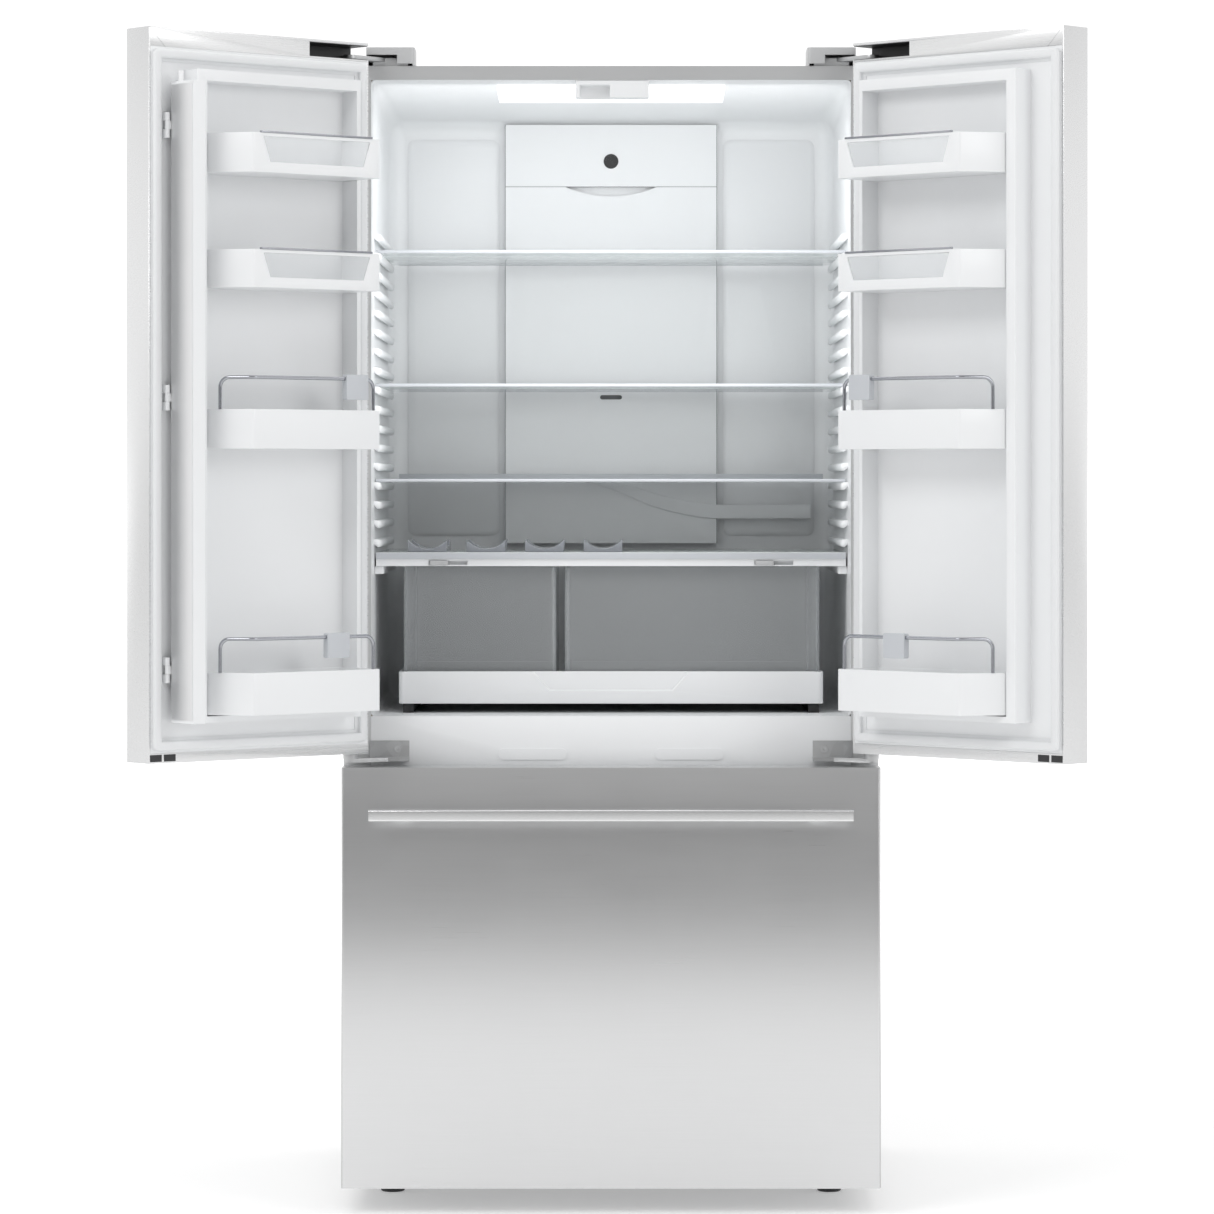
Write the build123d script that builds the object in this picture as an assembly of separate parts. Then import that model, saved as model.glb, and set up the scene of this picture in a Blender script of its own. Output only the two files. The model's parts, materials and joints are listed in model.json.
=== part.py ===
"""French door refrigerator with a bottom freezer drawer, in millimetres.

+Z is up and the doors face -Y. The origin is on the floor, on the cabinet's centre line, halfway
between the frontmost point of the opened doors and the back. Shapes are drawn with y = 0 on the
front skins, and save() moves them back by front_y. Door shapes are drawn in the door's own frame
(u along the door from its pin, w inwards, z up) and hang() swings them open about the pin.
"""
import os
from math import cos, radians, sin

from build123d import *

# overall sizes
width = 790.0
height = 1715.0
depth = 695.0
door_open = {-1: 139.0, 1: 136.0}   # how far each door stands open: -1 is left, 1 is right

# shared thicknesses and clearances
sheet = 1.0            # steel sheet
skin_wall = 2.0        # plastic liner
tray_wall = 2.5        # bins and trays
running = 0.05         # radial clearance of a shaft in its hole
slip = 0.3             # gap between pieces that slide past each other
door_thick = 57.0

# cabinet
cabinet_front = door_thick + 11.0  # front skin to the cabinet's front face
cabinet_bottom = 38.0
cabinet_top = height - 28.0
side_wall = 40.5
top_wall = 21.0
back_wall = 95.0
ceiling_drop = 20.0    # the ceiling falls this much towards the back
half = width / 2
cavity = half - side_wall          # half width of both compartments
ceiling_front = cabinet_top - top_wall
fridge_floor = 726.0
freezer_top = 628.0
freezer_floor = 85.0
cavity_back = depth - back_wall
shell_front = cabinet_front + sheet
back_face = depth - sheet

# machine compartment at the bottom of the back
machine_front = depth - 265.0
machine_top = 310.0
step_wall = 30.0
machine_y = (machine_front + back_face) / 2 + 5
slot_size = (36.0, 6.0)            # air slots of its cover
slot_pitch = (46.0, 14.0)
slot_count = (9, 11)
slot_middle = (-90.0, 170.0)
gland_place = (250.0, 120.0)       # X and height of the cord gland
gland_radius = 9.0
gland_bore = 5.0
gland_long = 7.0

# feet and rollers
foot_x = half - 65.0
foot_y = 230.0
foot_radius = 18.0
foot_thick = 9.0
stud_radius = 5.0
stud_top = 60.0
boss_radius = 12.0
roller_radius = 19.0
roller_wide = 22.0
roller_y = depth - 55.0
roller_x = half - 65.0
axle_radius = 4.0
fork_thick = 3.0

# wall between the compartments
divider_back = shell_front + 11.0
pad_size = (102.0, 17.0)
pad_x = 116.0
pad_z = 670.0

# doors and drawer
door_bottom = 674.0
drawer_top = 654.0
door_gap = 4.0         # between the two doors
edge_inset = 1.0       # door edge to the cabinet's side
pin_inset = 12.0       # pin to the cabinet's side
pin_y = 28.0
pin_radius = 5.0
pin_x = half - pin_inset
free = pin_x - door_gap / 2        # u of the free edge
hinge_edge = -(pin_inset - edge_inset)
w_front = -pin_y
w_back = door_thick - pin_y
flange_top = 28.0
flange_bottom = 15.0
flange_side = 3.0
gasket_wide = 18.5
gasket_thick = 10.3
bush_radius = 9.0
bush_long = 28.0
pocket_reach = 97.0    # room for the hinge arm in the door's top
pocket_z = (cabinet_top + 3.0, cabinet_top + 24.0)
arm_z = (cabinet_top + 6.0, cabinet_top + 12.0)
arm_half = 10.5
middle_arm_z = (660.0, 666.0)
liner_low = door_bottom + flange_bottom
liner_high = height - flange_top

# freezer drawer front
drawer_mouth = (-half + flange_side, half - flange_side, cabinet_bottom + 6.0, drawer_top - 6.0)
ring_half = cavity - 6.5
ring_low = freezer_floor + 7.0
ring_high = freezer_top - 8.0
ring_wide = 12.0
ring_deep = 23.0

# door pocket
rim_high = 35.0
rim_side = 17.0
rim_hinge = 6.5
rim_top = height - 59.0
rim_top_wide = 16.0
rim_bottom = 731.0
rim_bottom_wide = 9.0

# flip mullion on the left door
mullion_wide = 53.0
mullion_thick = 25.0
mullion_bottom = 732.0
mullion_top = cabinet_top - 50.0
mullion_w = w_back + 7.0           # hinge line
mullion_step = 4.5     # hinge line to the folded body
mullion_gap = 2.0
mullion_u = pin_x - mullion_gap - mullion_wide / 2
knuckle_radius = 3.8
knuckle_pin = 2.0
knuckle_heights = [mullion_bottom + 68.0, (mullion_bottom + mullion_top + 1.0) / 2, mullion_top - 67.0]
guide_pin_radius = 4.0
guide_pin_u = 9.5      # from the hinge line, folded
guide_pin_w = 20.0
guide_pin_high = 15.0
guide_x = (-52.0, 56.0)            # the ceiling block that turns it
guide_bottom = mullion_top + 3.0
guide_deep = 42.0

# where the rim and the bins lie along the door
rim_free = mullion_u - mullion_step - mullion_thick - 3.0
rim_near = pin_x - cavity + 2.0
bin_near = rim_near + rim_hinge + 1.0
bin_far = rim_free - rim_side - 2.0

# door bins
bin_reach = 93.0
bin_face = w_back + bin_reach
bin_facet = 36.0
bin_facet_deep = 58.0
small_bins = [(rim_top - 146.0, 56.0), (rim_top - 309.0, 54.0)]   # bottom, height
large_bins = [(1119.0, 56.0, 45.0), (742.0, 60.0, 48.0)]  # bottom, height, wire above
wire = 2.65
wire_bend = 14.0
clip_wide = 39.0
clip_starts = {-1: (bin_near + 25.0, bin_near + 59.0),
               1: (bin_near + 25.0, bin_near + 90.0)}     # u of the upper and lower clip

# handles
handle_long = 705.0
drawer_handle_long = width - 85.0
handle_wide = 17.0
handle_thick = 12.0
handle_stand = 36.0
handle_z = 1100.0
handle_edge = 50.0     # door handle centre line to the free edge
drawer_handle_z = 587.0
post_inset = 45.0

# shelves
shelf_front = 165.0
shelf_deep = cavity_back - 200.0
shelf_half = cavity - 2.5
shelf_glass = 4.2
shelf_trim = 4.7
shelf_trim_deep = 12.0
rear_trim_half = shelf_half - 16.0
rear_trim_high = 13.0
rib_pitch = 28.6
rib_high = 12.0
rib_reach = 11.0
rib_base = 1072.0      # top of the rib under the lowest shelf
rib_first = -3
rib_last = int((cabinet_top - 240.0 - rib_base) / rib_pitch)
shelf_ribs = [rib_last - 1, rib_last - 8, 0]
rib_y = (150.0, cavity_back - 28.0)
panel_top = cabinet_top - 70.0     # raised panels beside the duct
panel_inset = 31.0

# crisper
lid_top = 966.6
lid_glass_thick = 4.6
lid_frame_bottom = 946.0
lid_front = 160.0
lid_deep = cavity_back - 200.0
ledge_top = lid_frame_bottom
tray_half = cavity - 36.5
tray_bottom = 740.0
tray_front_high = 48.0
crisper_front = 160.0
crisper_deep = cavity_back - 200.0
bin_split = (-82.4, -69.5)
slider_wide = 28.0
slider_travel = 28.0
slider_left = -shelf_half + 80.0   # X of each humidity slider's low side
slider_right = shelf_half - 136.0
cradle_wide = 58.0
cradle_pitch = 88.0
cradle_first = -shelf_half + 76.0
cradle_high = 20.0

# air duct, its fan and the ceiling light
cover_half = 168.5
cover_thick = 20.0
cover_bottom = 975.0
cover_top = cabinet_top - 47.0
outlet_radius = 220.0              # two arcs of this radius make the lens-shaped outlet
outlet_apart = 425.0
outlet_z = cover_top - 106.0
vent_z = cover_top - 58.0
vent_radius = 12.0
oval_z = 1207.0
oval_size = (35.0, 7.0)
fan_z = 560.0
fan_radius = 48.0
fan_shaft = 2.5
fan_motor = (22.0, 22.0)           # radius and length
evaporator_front = cavity_back - 54.0
coil_z = (352.0, 500.0)
coil_half = 250.0
coil_rows = 5
fin_count = 15
fin_pitch = 34.0
light_y = (130.0, 305.0)
light_half = cover_half + 2.0
light_thick = 5.0

# freezer
tray_rail_z = 430.0
slide_z = 394.0
freezer_tray = (cavity - 38.5, 440.0, 600.0)      # half width, bottom, top
freezer_bin = (cavity - 34.5, 106.0, 330.0)

# compressor and condenser
compressor_x = -190.0
compressor_radius = 82.0
compressor_z = (65.0, 215.0)
compressor_plate = (110.0, 70.0, 58.0, 66.0)      # half sizes in X and Y, bottom, top
condenser_x = 95.0
condenser_long = 190.0
condenser_half = 80.0
condenser_top = 250.0
condenser_tube = 3.0
condenser_first = (25.0, 70.0)                    # first tube, from the low Y side and the floor
condenser_pitch = (37.0, 32.0)
condenser_count = (4, 6)
machine_fan_z = 150.0
machine_fan_radius = 60.0
machine_fan_shaft = 3.0
machine_motor = (24.0, 40.0)

# how far the opened left door's mullion stands in front of the front skins
open_left = radians(door_open[-1])
front_reach = ((mullion_u - mullion_step) * sin(open_left)
               - (mullion_w + 2 + mullion_wide) * cos(open_left) - pin_y)
front_y = (front_reach - depth) / 2


def block(x0, x1, y0, y1, z0, z1):
    """A box between two corners."""
    return Pos((x0 + x1) / 2, (y0 + y1) / 2, (z0 + z1) / 2) * Box(x1 - x0, y1 - y0, z1 - z0)


def rod(start, direction, radius, length):
    """A cylinder from a point, along a direction."""
    plane = Plane(origin=start, z_dir=direction)
    return plane * Cylinder(radius, length, align=(Align.CENTER, Align.CENTER, Align.MIN))


def prism_x(points, x0, x1):
    """An outline in Y and Z, drawn out along X."""
    outline = Plane.YZ.offset(x0) * Polygon(*points, align=None)
    return extrude(outline, amount=x1 - x0)


def prism_y(points, y0, y1):
    """An outline in X and Z, drawn out along Y."""
    outline = Plane.XZ.offset(-y0) * Polygon(*points, align=None)
    return extrude(outline, amount=y0 - y1)


def prism_z(outline, z0, z1):
    """A flat sketch in X and Y, drawn up between two heights."""
    return Pos(0, 0, z0) * extrude(outline, amount=z1 - z0)


def both(shape):
    """A piece and its twin on the other side of the centre line."""
    return [shape, mirror(shape, about=Plane.YZ)]


def open_box(x0, x1, y0, y1, z0, z1, wall, corner=6.0):
    """A tray or bin, open at the top, with rounded upright corners."""
    body = block(x0, x1, y0, y1, z0, z1)
    body = fillet(body.edges().filter_by(Axis.Z), corner)
    hollow = block(x0 + wall, x1 - wall, y0 + wall, y1 - wall, z0 + wall, z1 + wall)
    hollow = fillet(hollow.edges().filter_by(Axis.Z), corner - wall)
    return body - hollow


def solids_of(shapes):
    """Every solid in a list of shapes."""
    return [solid for shape in shapes for solid in shape.solids()]


def save(name, *shapes):
    """Write one node, moved to the frame's origin."""
    solids = solids_of([Pos(0, front_y, 0) * shape for shape in shapes])
    node = solids[0] if len(solids) == 1 else Compound(children=solids)
    export_step(node, f"parts/{name}.step")


def hang(shape, side):
    """Move a shape from the door's own frame to its place on the opened door."""
    if side > 0:
        shape = mirror(shape, about=Plane.YZ)
    return Pos(side * pin_x, pin_y, 0) * Rot(0, 0, side * door_open[side]) * shape


def ceiling(y):
    """Height of the fridge ceiling at a depth."""
    return ceiling_front - ceiling_drop * (y - shell_front) / (cavity_back - shell_front)


# ---------------------------------------------------------------- cabinet

def cabinet_shell():
    """Steel wrapper: sides, top and the front flange around both compartments."""
    body = block(-half, half, cabinet_front, back_face, cabinet_bottom, cabinet_top)
    inside = block(-half + sheet, half - sheet, shell_front, depth, 0, cabinet_top - sheet)
    mouth = block(-cavity, cavity, 0, depth, freezer_floor, ceiling_front)
    return body - inside - mouth


def back_panels():
    """Upper back sheet, and the machine compartment's slotted cover with a cord gland."""
    edge = half - sheet
    upper = block(-edge, edge, back_face, depth, machine_top + 2, cabinet_top - sheet)
    lower = block(-half, half, back_face, depth, cabinet_bottom, machine_top)
    slot = extrude(Plane.XZ * SlotOverall(*slot_size), amount=10, both=True)
    for place in GridLocations(*slot_pitch, *slot_count).locations:
        x, z = place.position.X + slot_middle[0], place.position.Y + slot_middle[1]
        lower -= Pos(x, back_face, z) * slot
    x, z = gland_place
    lower -= rod((x, back_face - 5, z), (0, 1, 0), gland_radius, 20)
    gland = rod((x, depth - gland_long, z), (0, 1, 0), gland_radius, gland_long)
    return [upper, lower, gland - rod((x, 0, z), (0, 1, 0), gland_bore, depth)]


def base_frame():
    """Base pan with a boss for each levelling foot and a forked bracket for each roller."""
    pan = block(-half + sheet, half - sheet, shell_front, back_face, cabinet_bottom, cabinet_bottom + 2)
    for side in (-1, 1):
        pan += rod((side * foot_x, foot_y, 20), (0, 0, 1), boss_radius, cabinet_bottom + 2 - 20)
        pan -= rod((side * foot_x, foot_y, 0), (0, 0, 1), stud_radius + running, 60)
        for step in (-1, 1):
            x = side * roller_x + step * (roller_wide / 2 + slip)
            ear = block(*sorted((x, x + step * fork_thick)), roller_y - 12, roller_y + 12,
                        10, cabinet_bottom)
            pan += ear
        pan -= block(side * roller_x - roller_wide / 2 - slip, side * roller_x + roller_wide / 2 + slip,
                     roller_y - 22, roller_y + 22, 0, cabinet_bottom + 2)
    pan -= rod((-half, roller_y, roller_radius), (1, 0, 0), axle_radius + running, width)
    return pan


def levelling_feet():
    """Two screw feet: a threaded stud with a broad disc."""
    feet = []
    for side in (-1, 1):
        stud = rod((side * foot_x, foot_y, 0), (0, 0, 1), stud_radius, stud_top)
        disc = rod((side * foot_x, foot_y, 0), (0, 0, 1), foot_radius, foot_thick)
        feet.append(chamfer(disc.edges(), 1.5) + stud)
    return feet


def rear_rollers():
    """Two rollers, each with its own short axle."""
    rollers = []
    for side in (-1, 1):
        x = side * roller_x
        wheel = rod((x - roller_wide / 2, roller_y, roller_radius), (1, 0, 0), roller_radius, roller_wide)
        wheel = chamfer(wheel.edges(), 2)
        axle = rod((x - roller_wide, roller_y, roller_radius), (1, 0, 0), axle_radius, 2 * roller_wide)
        rollers.append(wheel + axle)
    return rollers


def cabinet_foam():
    """Foamed insulation, as slabs that leave both compartments and the machine space open."""
    outer = half - sheet
    inner = cavity + skin_wall
    low = cabinet_bottom + 2
    back = cavity_back + skin_wall
    machine_wall = machine_top + 2
    step_y = machine_front - step_wall
    step_z = machine_wall + step_wall
    slabs = []
    for side in (-1, 1):
        xs = sorted((side * inner, side * outer))
        slabs.append(block(*xs, shell_front, back_face, machine_wall, cabinet_top - sheet))
        slabs.append(block(*xs, shell_front, machine_front, low, machine_wall))
    slabs.append(prism_x([(shell_front, ceiling(shell_front) + skin_wall),
                          (back, ceiling(back) + skin_wall), (back_face, ceiling(back) + skin_wall),
                          (back_face, cabinet_top - sheet), (shell_front, cabinet_top - sheet)],
                         -inner, inner))
    slabs.append(block(-inner, inner, back, back_face, machine_wall, ceiling(back) + skin_wall))
    slabs.append(block(-inner, inner, divider_back, back, freezer_top + skin_wall,
                       fridge_floor - skin_wall))
    floor = block(-inner, inner, shell_front, step_y, low, freezer_floor - skin_wall)
    for side in (-1, 1):
        floor -= rod((side * foot_x, foot_y, low), (0, 0, 1), stud_radius + 3, stud_top - low + 4)
    slabs.append(floor)
    slabs.append(block(-inner, inner, step_y, machine_front, low, step_z - skin_wall))
    slabs.append(block(-inner, inner, machine_front, back, machine_wall, step_z - skin_wall))
    return slabs


def fridge_liner():
    """White inner box of the fridge, with shelf ribs, lid ledges and raised back panels."""
    back = cavity_back + skin_wall
    outer = [(shell_front, fridge_floor - skin_wall), (back, fridge_floor - skin_wall),
             (back, ceiling(back) + skin_wall), (shell_front, ceiling(shell_front) + skin_wall)]
    inner = [(0, fridge_floor), (cavity_back, fridge_floor), (cavity_back, ceiling(cavity_back)),
             (shell_front, ceiling_front), (0, ceiling_front)]
    body = prism_x(outer, -cavity - skin_wall, cavity + skin_wall)
    body -= prism_x(inner, -cavity, cavity)
    for side in (-1, 1):
        for step in range(rib_first, rib_last + 1):
            top = rib_base + rib_pitch * step
            xs = sorted((side * (cavity - rib_reach), side * (cavity + skin_wall / 2)))
            body += block(*xs, *rib_y, top - rib_high, top)
        xs = sorted((side * (cavity - 14), side * (cavity + skin_wall / 2)))
        body += block(*xs, lid_front + 5, lid_front + lid_deep - 5, ledge_top - 12, ledge_top)
        xs = sorted((side * (cover_half + 10), side * (cavity - panel_inset)))
        panel = block(*xs, cavity_back - 5, cavity_back + skin_wall / 2, lid_top + 20, panel_top)
        body += chamfer(panel.faces().sort_by(Axis.Y)[0].edges(), 4)
    return body


def freezer_liner():
    """Freezer inner box with its step over the machine space, and the evaporator's cover."""
    step_y = machine_front - step_wall
    step_z = machine_top + 2 + step_wall
    grow = skin_wall
    outer = [(shell_front, freezer_floor - grow), (step_y, freezer_floor - grow),
             (step_y, step_z - grow), (cavity_back + grow, step_z - grow),
             (cavity_back + grow, freezer_top + grow), (shell_front, freezer_top + grow)]
    inner = [(0, freezer_floor), (step_y - grow, freezer_floor), (step_y - grow, step_z),
             (cavity_back, step_z), (cavity_back, freezer_top), (0, freezer_top)]
    body = prism_x(outer, -cavity - grow, cavity + grow)
    body -= prism_x(inner, -cavity, cavity)
    cover = block(-cavity, cavity, evaporator_front - 6, evaporator_front - 3.5, step_z, freezer_top)
    for row in range(4):
        cover -= block(-150, 150, 0, depth, step_z + 20 + 12 * row, step_z + 25 + 12 * row)
    cover -= rod((0, 0, fan_z), (0, 1, 0), fan_radius + 4, depth)
    return [body, cover]


def divider_front():
    """Steel front of the wall between the compartments, with two raised oval pads."""
    plate = block(-cavity, cavity, cabinet_front, shell_front, freezer_top, fridge_floor)
    low, high = freezer_top + skin_wall, fridge_floor - skin_wall
    plate += block(-cavity, cavity, shell_front, divider_back, low, high)
    plate -= block(-cavity, cavity, shell_front + 1, depth, low + 2, high - 2)
    for side in (-1, 1):
        pad = extrude(Plane.XZ * SlotOverall(*pad_size), amount=2)
        plate += Pos(side * pad_x, cabinet_front, pad_z) * pad
    return plate


def divider_core():
    """Foam behind the divider's steel front."""
    low, high = freezer_top + skin_wall + 2, fridge_floor - skin_wall - 2
    return block(-cavity, cavity, shell_front + 1, divider_back, low, high)


def duct_cover():
    """Tall cover of the air duct: a lens-shaped outlet, a round vent and a small oval one."""
    front = cavity_back - cover_thick
    body = block(-cover_half, cover_half, front, cavity_back, cover_bottom, cover_top)
    body = chamfer(body.faces().sort_by(Axis.Y)[0].edges(), 3)
    body -= block(-cover_half + 3, cover_half - 3, front + 3, depth, cover_bottom + 3, cover_top - 3)
    lens = Circle(outlet_radius) & (Pos(0, outlet_apart) * Circle(outlet_radius))
    outlet = extrude(Plane.XZ * (Pos(0, 0.5 - outlet_apart / 2) * lens), amount=-20)
    body -= Pos(0, front - 5, outlet_z) * outlet
    body -= Pos(0, front - 5, oval_z) * extrude(Plane.XZ * SlotOverall(*oval_size), amount=-20)
    body -= rod((0, front - 5, vent_z), (0, 1, 0), vent_radius, 20)
    vent = rod((0, front, vent_z), (0, 1, 0), vent_radius, 3)
    vent -= rod((0, front, vent_z), (0, 1, 0), vent_radius - 3, 1.5)
    return [body, vent]


def light_panel():
    """Flat light lens on the ceiling."""
    y0, y1 = light_y
    outline = [(y0, ceiling(y0) - light_thick), (y1, ceiling(y1) - light_thick),
               (y1, ceiling(y1)), (y0, ceiling(y0))]
    return prism_x(outline, -light_half, light_half)


def mullion_guide():
    """Ceiling block whose pocket takes the mullion's guide pin and turns it."""
    y0, y1 = shell_front, shell_front + guide_deep
    outline = [(y0, guide_bottom), (y1 - 8, guide_bottom), (y1, guide_bottom + 8),
               (y1, ceiling(y1)), (y0, ceiling(y0))]
    body = prism_x(outline, *guide_x)
    return body - block(-46, -2, 0, cabinet_front + 27, 0, guide_bottom + guide_pin_high + 4)


def arm(pin, target, half_wide, z0, z1):
    """Flat arm with a round end, from a pin to a point."""
    step = Vector(*target, 0) - Vector(*pin, 0)
    middle = (Vector(*pin, 0) + Vector(*target, 0)) * 0.5
    bar = Rectangle(step.length, 2 * half_wide)
    turn = Vector(1, 0, 0).get_signed_angle(step, Vector(0, 0, 1))
    outline = Pos(middle.X, middle.Y) * Rot(0, 0, turn) * bar + Pos(*pin) * Circle(half_wide)
    return prism_z(outline, z0, z1)


def door_hinges():
    """Top and middle hinge brackets with their pins, and the screws that hold them."""
    x0, x1 = half - 95.0, half - 43.0
    top = block(x0, x1, cabinet_front + 4, cabinet_front + 57, cabinet_top, arm_z[1])
    top += arm((pin_x, pin_y), (x1 - 18, cabinet_front + 20), arm_half, *arm_z)
    top += rod((pin_x, pin_y, cabinet_top - 23), (0, 0, 1), pin_radius, arm_z[0] + 23 - cabinet_top)
    middle = block(half - 97, half - 39, cabinet_front - 3, cabinet_front, 661, 690)
    low, high = middle_arm_z
    middle += block(half - 97, half - 39, cabinet_front - 16, cabinet_front, low, high)
    middle += arm((pin_x, pin_y), (half - 62, cabinet_front - 15), arm_half, low, high)
    middle += rod((pin_x, pin_y, high), (0, 0, 1), 11, door_bottom - high - 0.5)
    middle += rod((pin_x, pin_y, high), (0, 0, 1), pin_radius, 32)
    screws = []
    for x, y in ((x0 + 14, cabinet_front + 18), (x0 + 14, cabinet_front + 44), (x1 - 12, cabinet_front + 44)):
        screws.append(rod((x, y, arm_z[1]), (0, 0, 1), 6, 4) - rod((x, y, arm_z[1] + 2), (0, 0, 1), 2.5, 4))
    x, z = half - 80, 678.0
    screws.append(rod((x, cabinet_front - 5, z), (0, 1, 0), 6, 2)
                  - rod((x, cabinet_front - 6, z), (0, 1, 0), 2, 2))
    pieces = []
    for piece in [top, middle] + screws:
        pieces += both(piece)
    return pieces


def hinge_covers():
    """Plastic caps over the top hinges, open where the arm comes out."""
    x0, x1 = half - 105.0, half - 33.0
    y0, y1 = cabinet_front - 6, cabinet_front + 64
    body = block(x0, x1, y0, y1, cabinet_top, height - 1)
    body = fillet(body.edges().filter_by(Axis.Z), 6)
    body -= block(x0 + 3, x1 - 3, y0 + 3, y1 - 3, cabinet_top, height - 4)
    body -= block(x1 - 46, half, 0, y0 + 12, cabinet_top, arm_z[1] + 4)
    body -= block(x0 + 3, x1, 0, cabinet_front, cabinet_top - 1, cabinet_top + 3)
    return both(body)


# ---------------------------------------------------------------- cooling

def evaporator():
    """Finned coil behind the freezer's back cover, and the fan motor above it."""
    coil = None
    y = (evaporator_front + cavity_back) / 2
    low, high = coil_z
    for row in range(coil_rows):
        z = low + 16 + 29 * row
        tube = rod((-coil_half, y, z), (1, 0, 0), 4, 2 * coil_half)
        coil = tube if coil is None else coil + tube
    for column in range(fin_count):
        x = fin_pitch * (column - (fin_count - 1) / 2)
        coil += block(x - 0.6, x + 0.6, evaporator_front + 4, cavity_back - 6, low, high)
    for side in (-1, 1):
        x = side * (coil_half - 4)
        coil += block(x - 2, x + 2, evaporator_front + 2, cavity_back, low, high)
    radius, long = fan_motor
    motor = rod((0, cavity_back - long, fan_z), (0, 1, 0), radius, long)
    motor -= rod((0, cavity_back - long, fan_z), (0, 1, 0), fan_shaft + running, 12)
    return [coil, motor]


def fan(radius, hub, deep, blades, shaft, shaft_long):
    """Axial fan about Z with pitched blades and a shaft below."""
    body = Cylinder(hub, deep)
    for step in range(blades):
        blade = Pos((hub + radius) / 2 - 2, 0, 0) * Rot(32, 0, 0) * Box(radius - hub + 4, hub * 1.2, 1.6)
        body += Rot(0, 0, 360 / blades * step) * blade
    body &= Cylinder(radius, deep * 3)
    return body + rod((0, 0, 0), (0, 0, -1), shaft, deep / 2 + shaft_long)


def evaporator_fan():
    """Fan that blows cold air up the duct."""
    return Pos(0, cavity_back - 32, fan_z) * Rot(90, 0, 0) * fan(fan_radius, 15, 12, 5, fan_shaft, 13)


def compressor():
    """Welded can on rubber-mounted feet, with its terminal box and two pipe stubs."""
    x, y = compressor_x, machine_y
    low, high = compressor_z
    can = rod((x, y, low), (0, 0, 1), compressor_radius, high - low)
    can = fillet(can.edges(), 30)
    half_x, half_y, plate_low, plate_high = compressor_plate
    plate = block(x - half_x, x + half_x, y - half_y, y + half_y, plate_low, plate_high)
    can += plate + block(x + compressor_radius - 8, x + compressor_radius + 14, y - 30, y + 30, 110, 165)
    can += rod((x - 30, y - 20, high - 15), (0, 0, 1), 4, 40) + rod((x + 30, y - 20, high - 15), (0, 0, 1), 5, 40)
    for step_x in (-1, 1):
        for step_y in (-1, 1):
            can += rod((x + (half_x - 15) * step_x, y + (half_y - 15) * step_y, cabinet_bottom + 2),
                       (0, 0, 1), 12, plate_low - cabinet_bottom - 2)
    return can


def condenser():
    """Condenser tubes between two side plates, and the bracket of its fan motor."""
    x0, x1 = condenser_x, condenser_x + condenser_long
    y0, y1 = machine_y - condenser_half, machine_y + condenser_half
    low = cabinet_bottom + 2
    hole = rod((x0 - 5, machine_y, machine_fan_z), (1, 0, 0), machine_fan_radius + 4, 12)
    near = block(x0, x0 + 2, y0, y1, low + 3, condenser_top) - hole
    far = block(x1 - 2, x1, y0, y1, low + 3, condenser_top)
    pieces = [near, far, block(x0, x1, y0, y1, low, low + 3)]
    motor_radius, motor_long = machine_motor
    for row in range(condenser_count[1]):
        for column in range(condenser_count[0]):
            y = y0 + condenser_first[0] + condenser_pitch[0] * column
            z = condenser_first[1] + condenser_pitch[1] * row
            reach = Vector(y - machine_y, z - machine_fan_z).length
            if reach > motor_radius + condenser_tube + 2:
                start = x0 + 2 if reach > machine_fan_radius + 4 + condenser_tube else x0 + 7
                pieces.append(rod((start, y, z), (1, 0, 0), condenser_tube, x1 - 2 - start))
    motor = rod((x0 - 8, machine_y, machine_fan_z), (1, 0, 0), motor_radius, motor_long)
    motor += block(x0 + 8, x0 + 14, machine_y - 14, machine_y + 14, low + 3, machine_fan_z - 15)
    shaft = rod((x0 - 8, machine_y, machine_fan_z), (1, 0, 0), machine_fan_shaft + running, 20)
    return pieces + [motor - shaft]


def condenser_fan():
    """Fan that draws air over the condenser."""
    turned = Rot(0, -90, 0) * fan(machine_fan_radius, 18, 14, 6, machine_fan_shaft, 20)
    return Pos(condenser_x - 20, machine_y, machine_fan_z) * turned


# ---------------------------------------------------------------- fridge interior

def shelf_parts(step):
    """One shelf: its glass, and its front and rear trims."""
    z = rib_base + rib_pitch * step
    y0, y1 = shelf_front, shelf_front + shelf_deep
    glass = block(-shelf_half, shelf_half, y0 + shelf_trim_deep, y1 - shelf_trim_deep, z, z + shelf_glass)
    front = block(-shelf_half, shelf_half, y0, y0 + shelf_trim_deep, z, z + shelf_trim)
    front = fillet(front.faces().sort_by(Axis.Y)[0].edges().filter_by(Axis.X), 1.8)
    rear = block(-rear_trim_half, rear_trim_half, y1 - shelf_trim_deep, y1, z, z + rear_trim_high)
    rear -= block(-half, half, 0, y1 - 3, z + shelf_trim, z + rear_trim_high)
    return glass, [front, rear]


def lid_frame():
    """Frame of the fixed lid over the crisper, with a slot for each humidity slider."""
    y0, y1 = lid_front, lid_front + lid_deep
    frame = block(-shelf_half, shelf_half, y0, y1, lid_frame_bottom, lid_top - lid_glass_thick)
    frame -= block(-shelf_half + 45, shelf_half - 45, y0 + 40, y1 - 40, 0, height)
    front = block(-shelf_half, shelf_half, y0 - 3, y0, lid_frame_bottom + 10.5, lid_top)
    frame += fillet(front.edges().filter_by(Axis.X), 1.2)
    for x in (slider_left, slider_right):
        frame -= block(x - 1, x + slider_wide + slider_travel + 1, 0, y0 + 10,
                       lid_frame_bottom + 1.8, lid_frame_bottom + 8.2)
    return frame


def lid_glass():
    """Glass plate let into the lid."""
    return block(-shelf_half, shelf_half, lid_front, lid_front + lid_deep,
                 lid_top - lid_glass_thick, lid_top)


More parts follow.
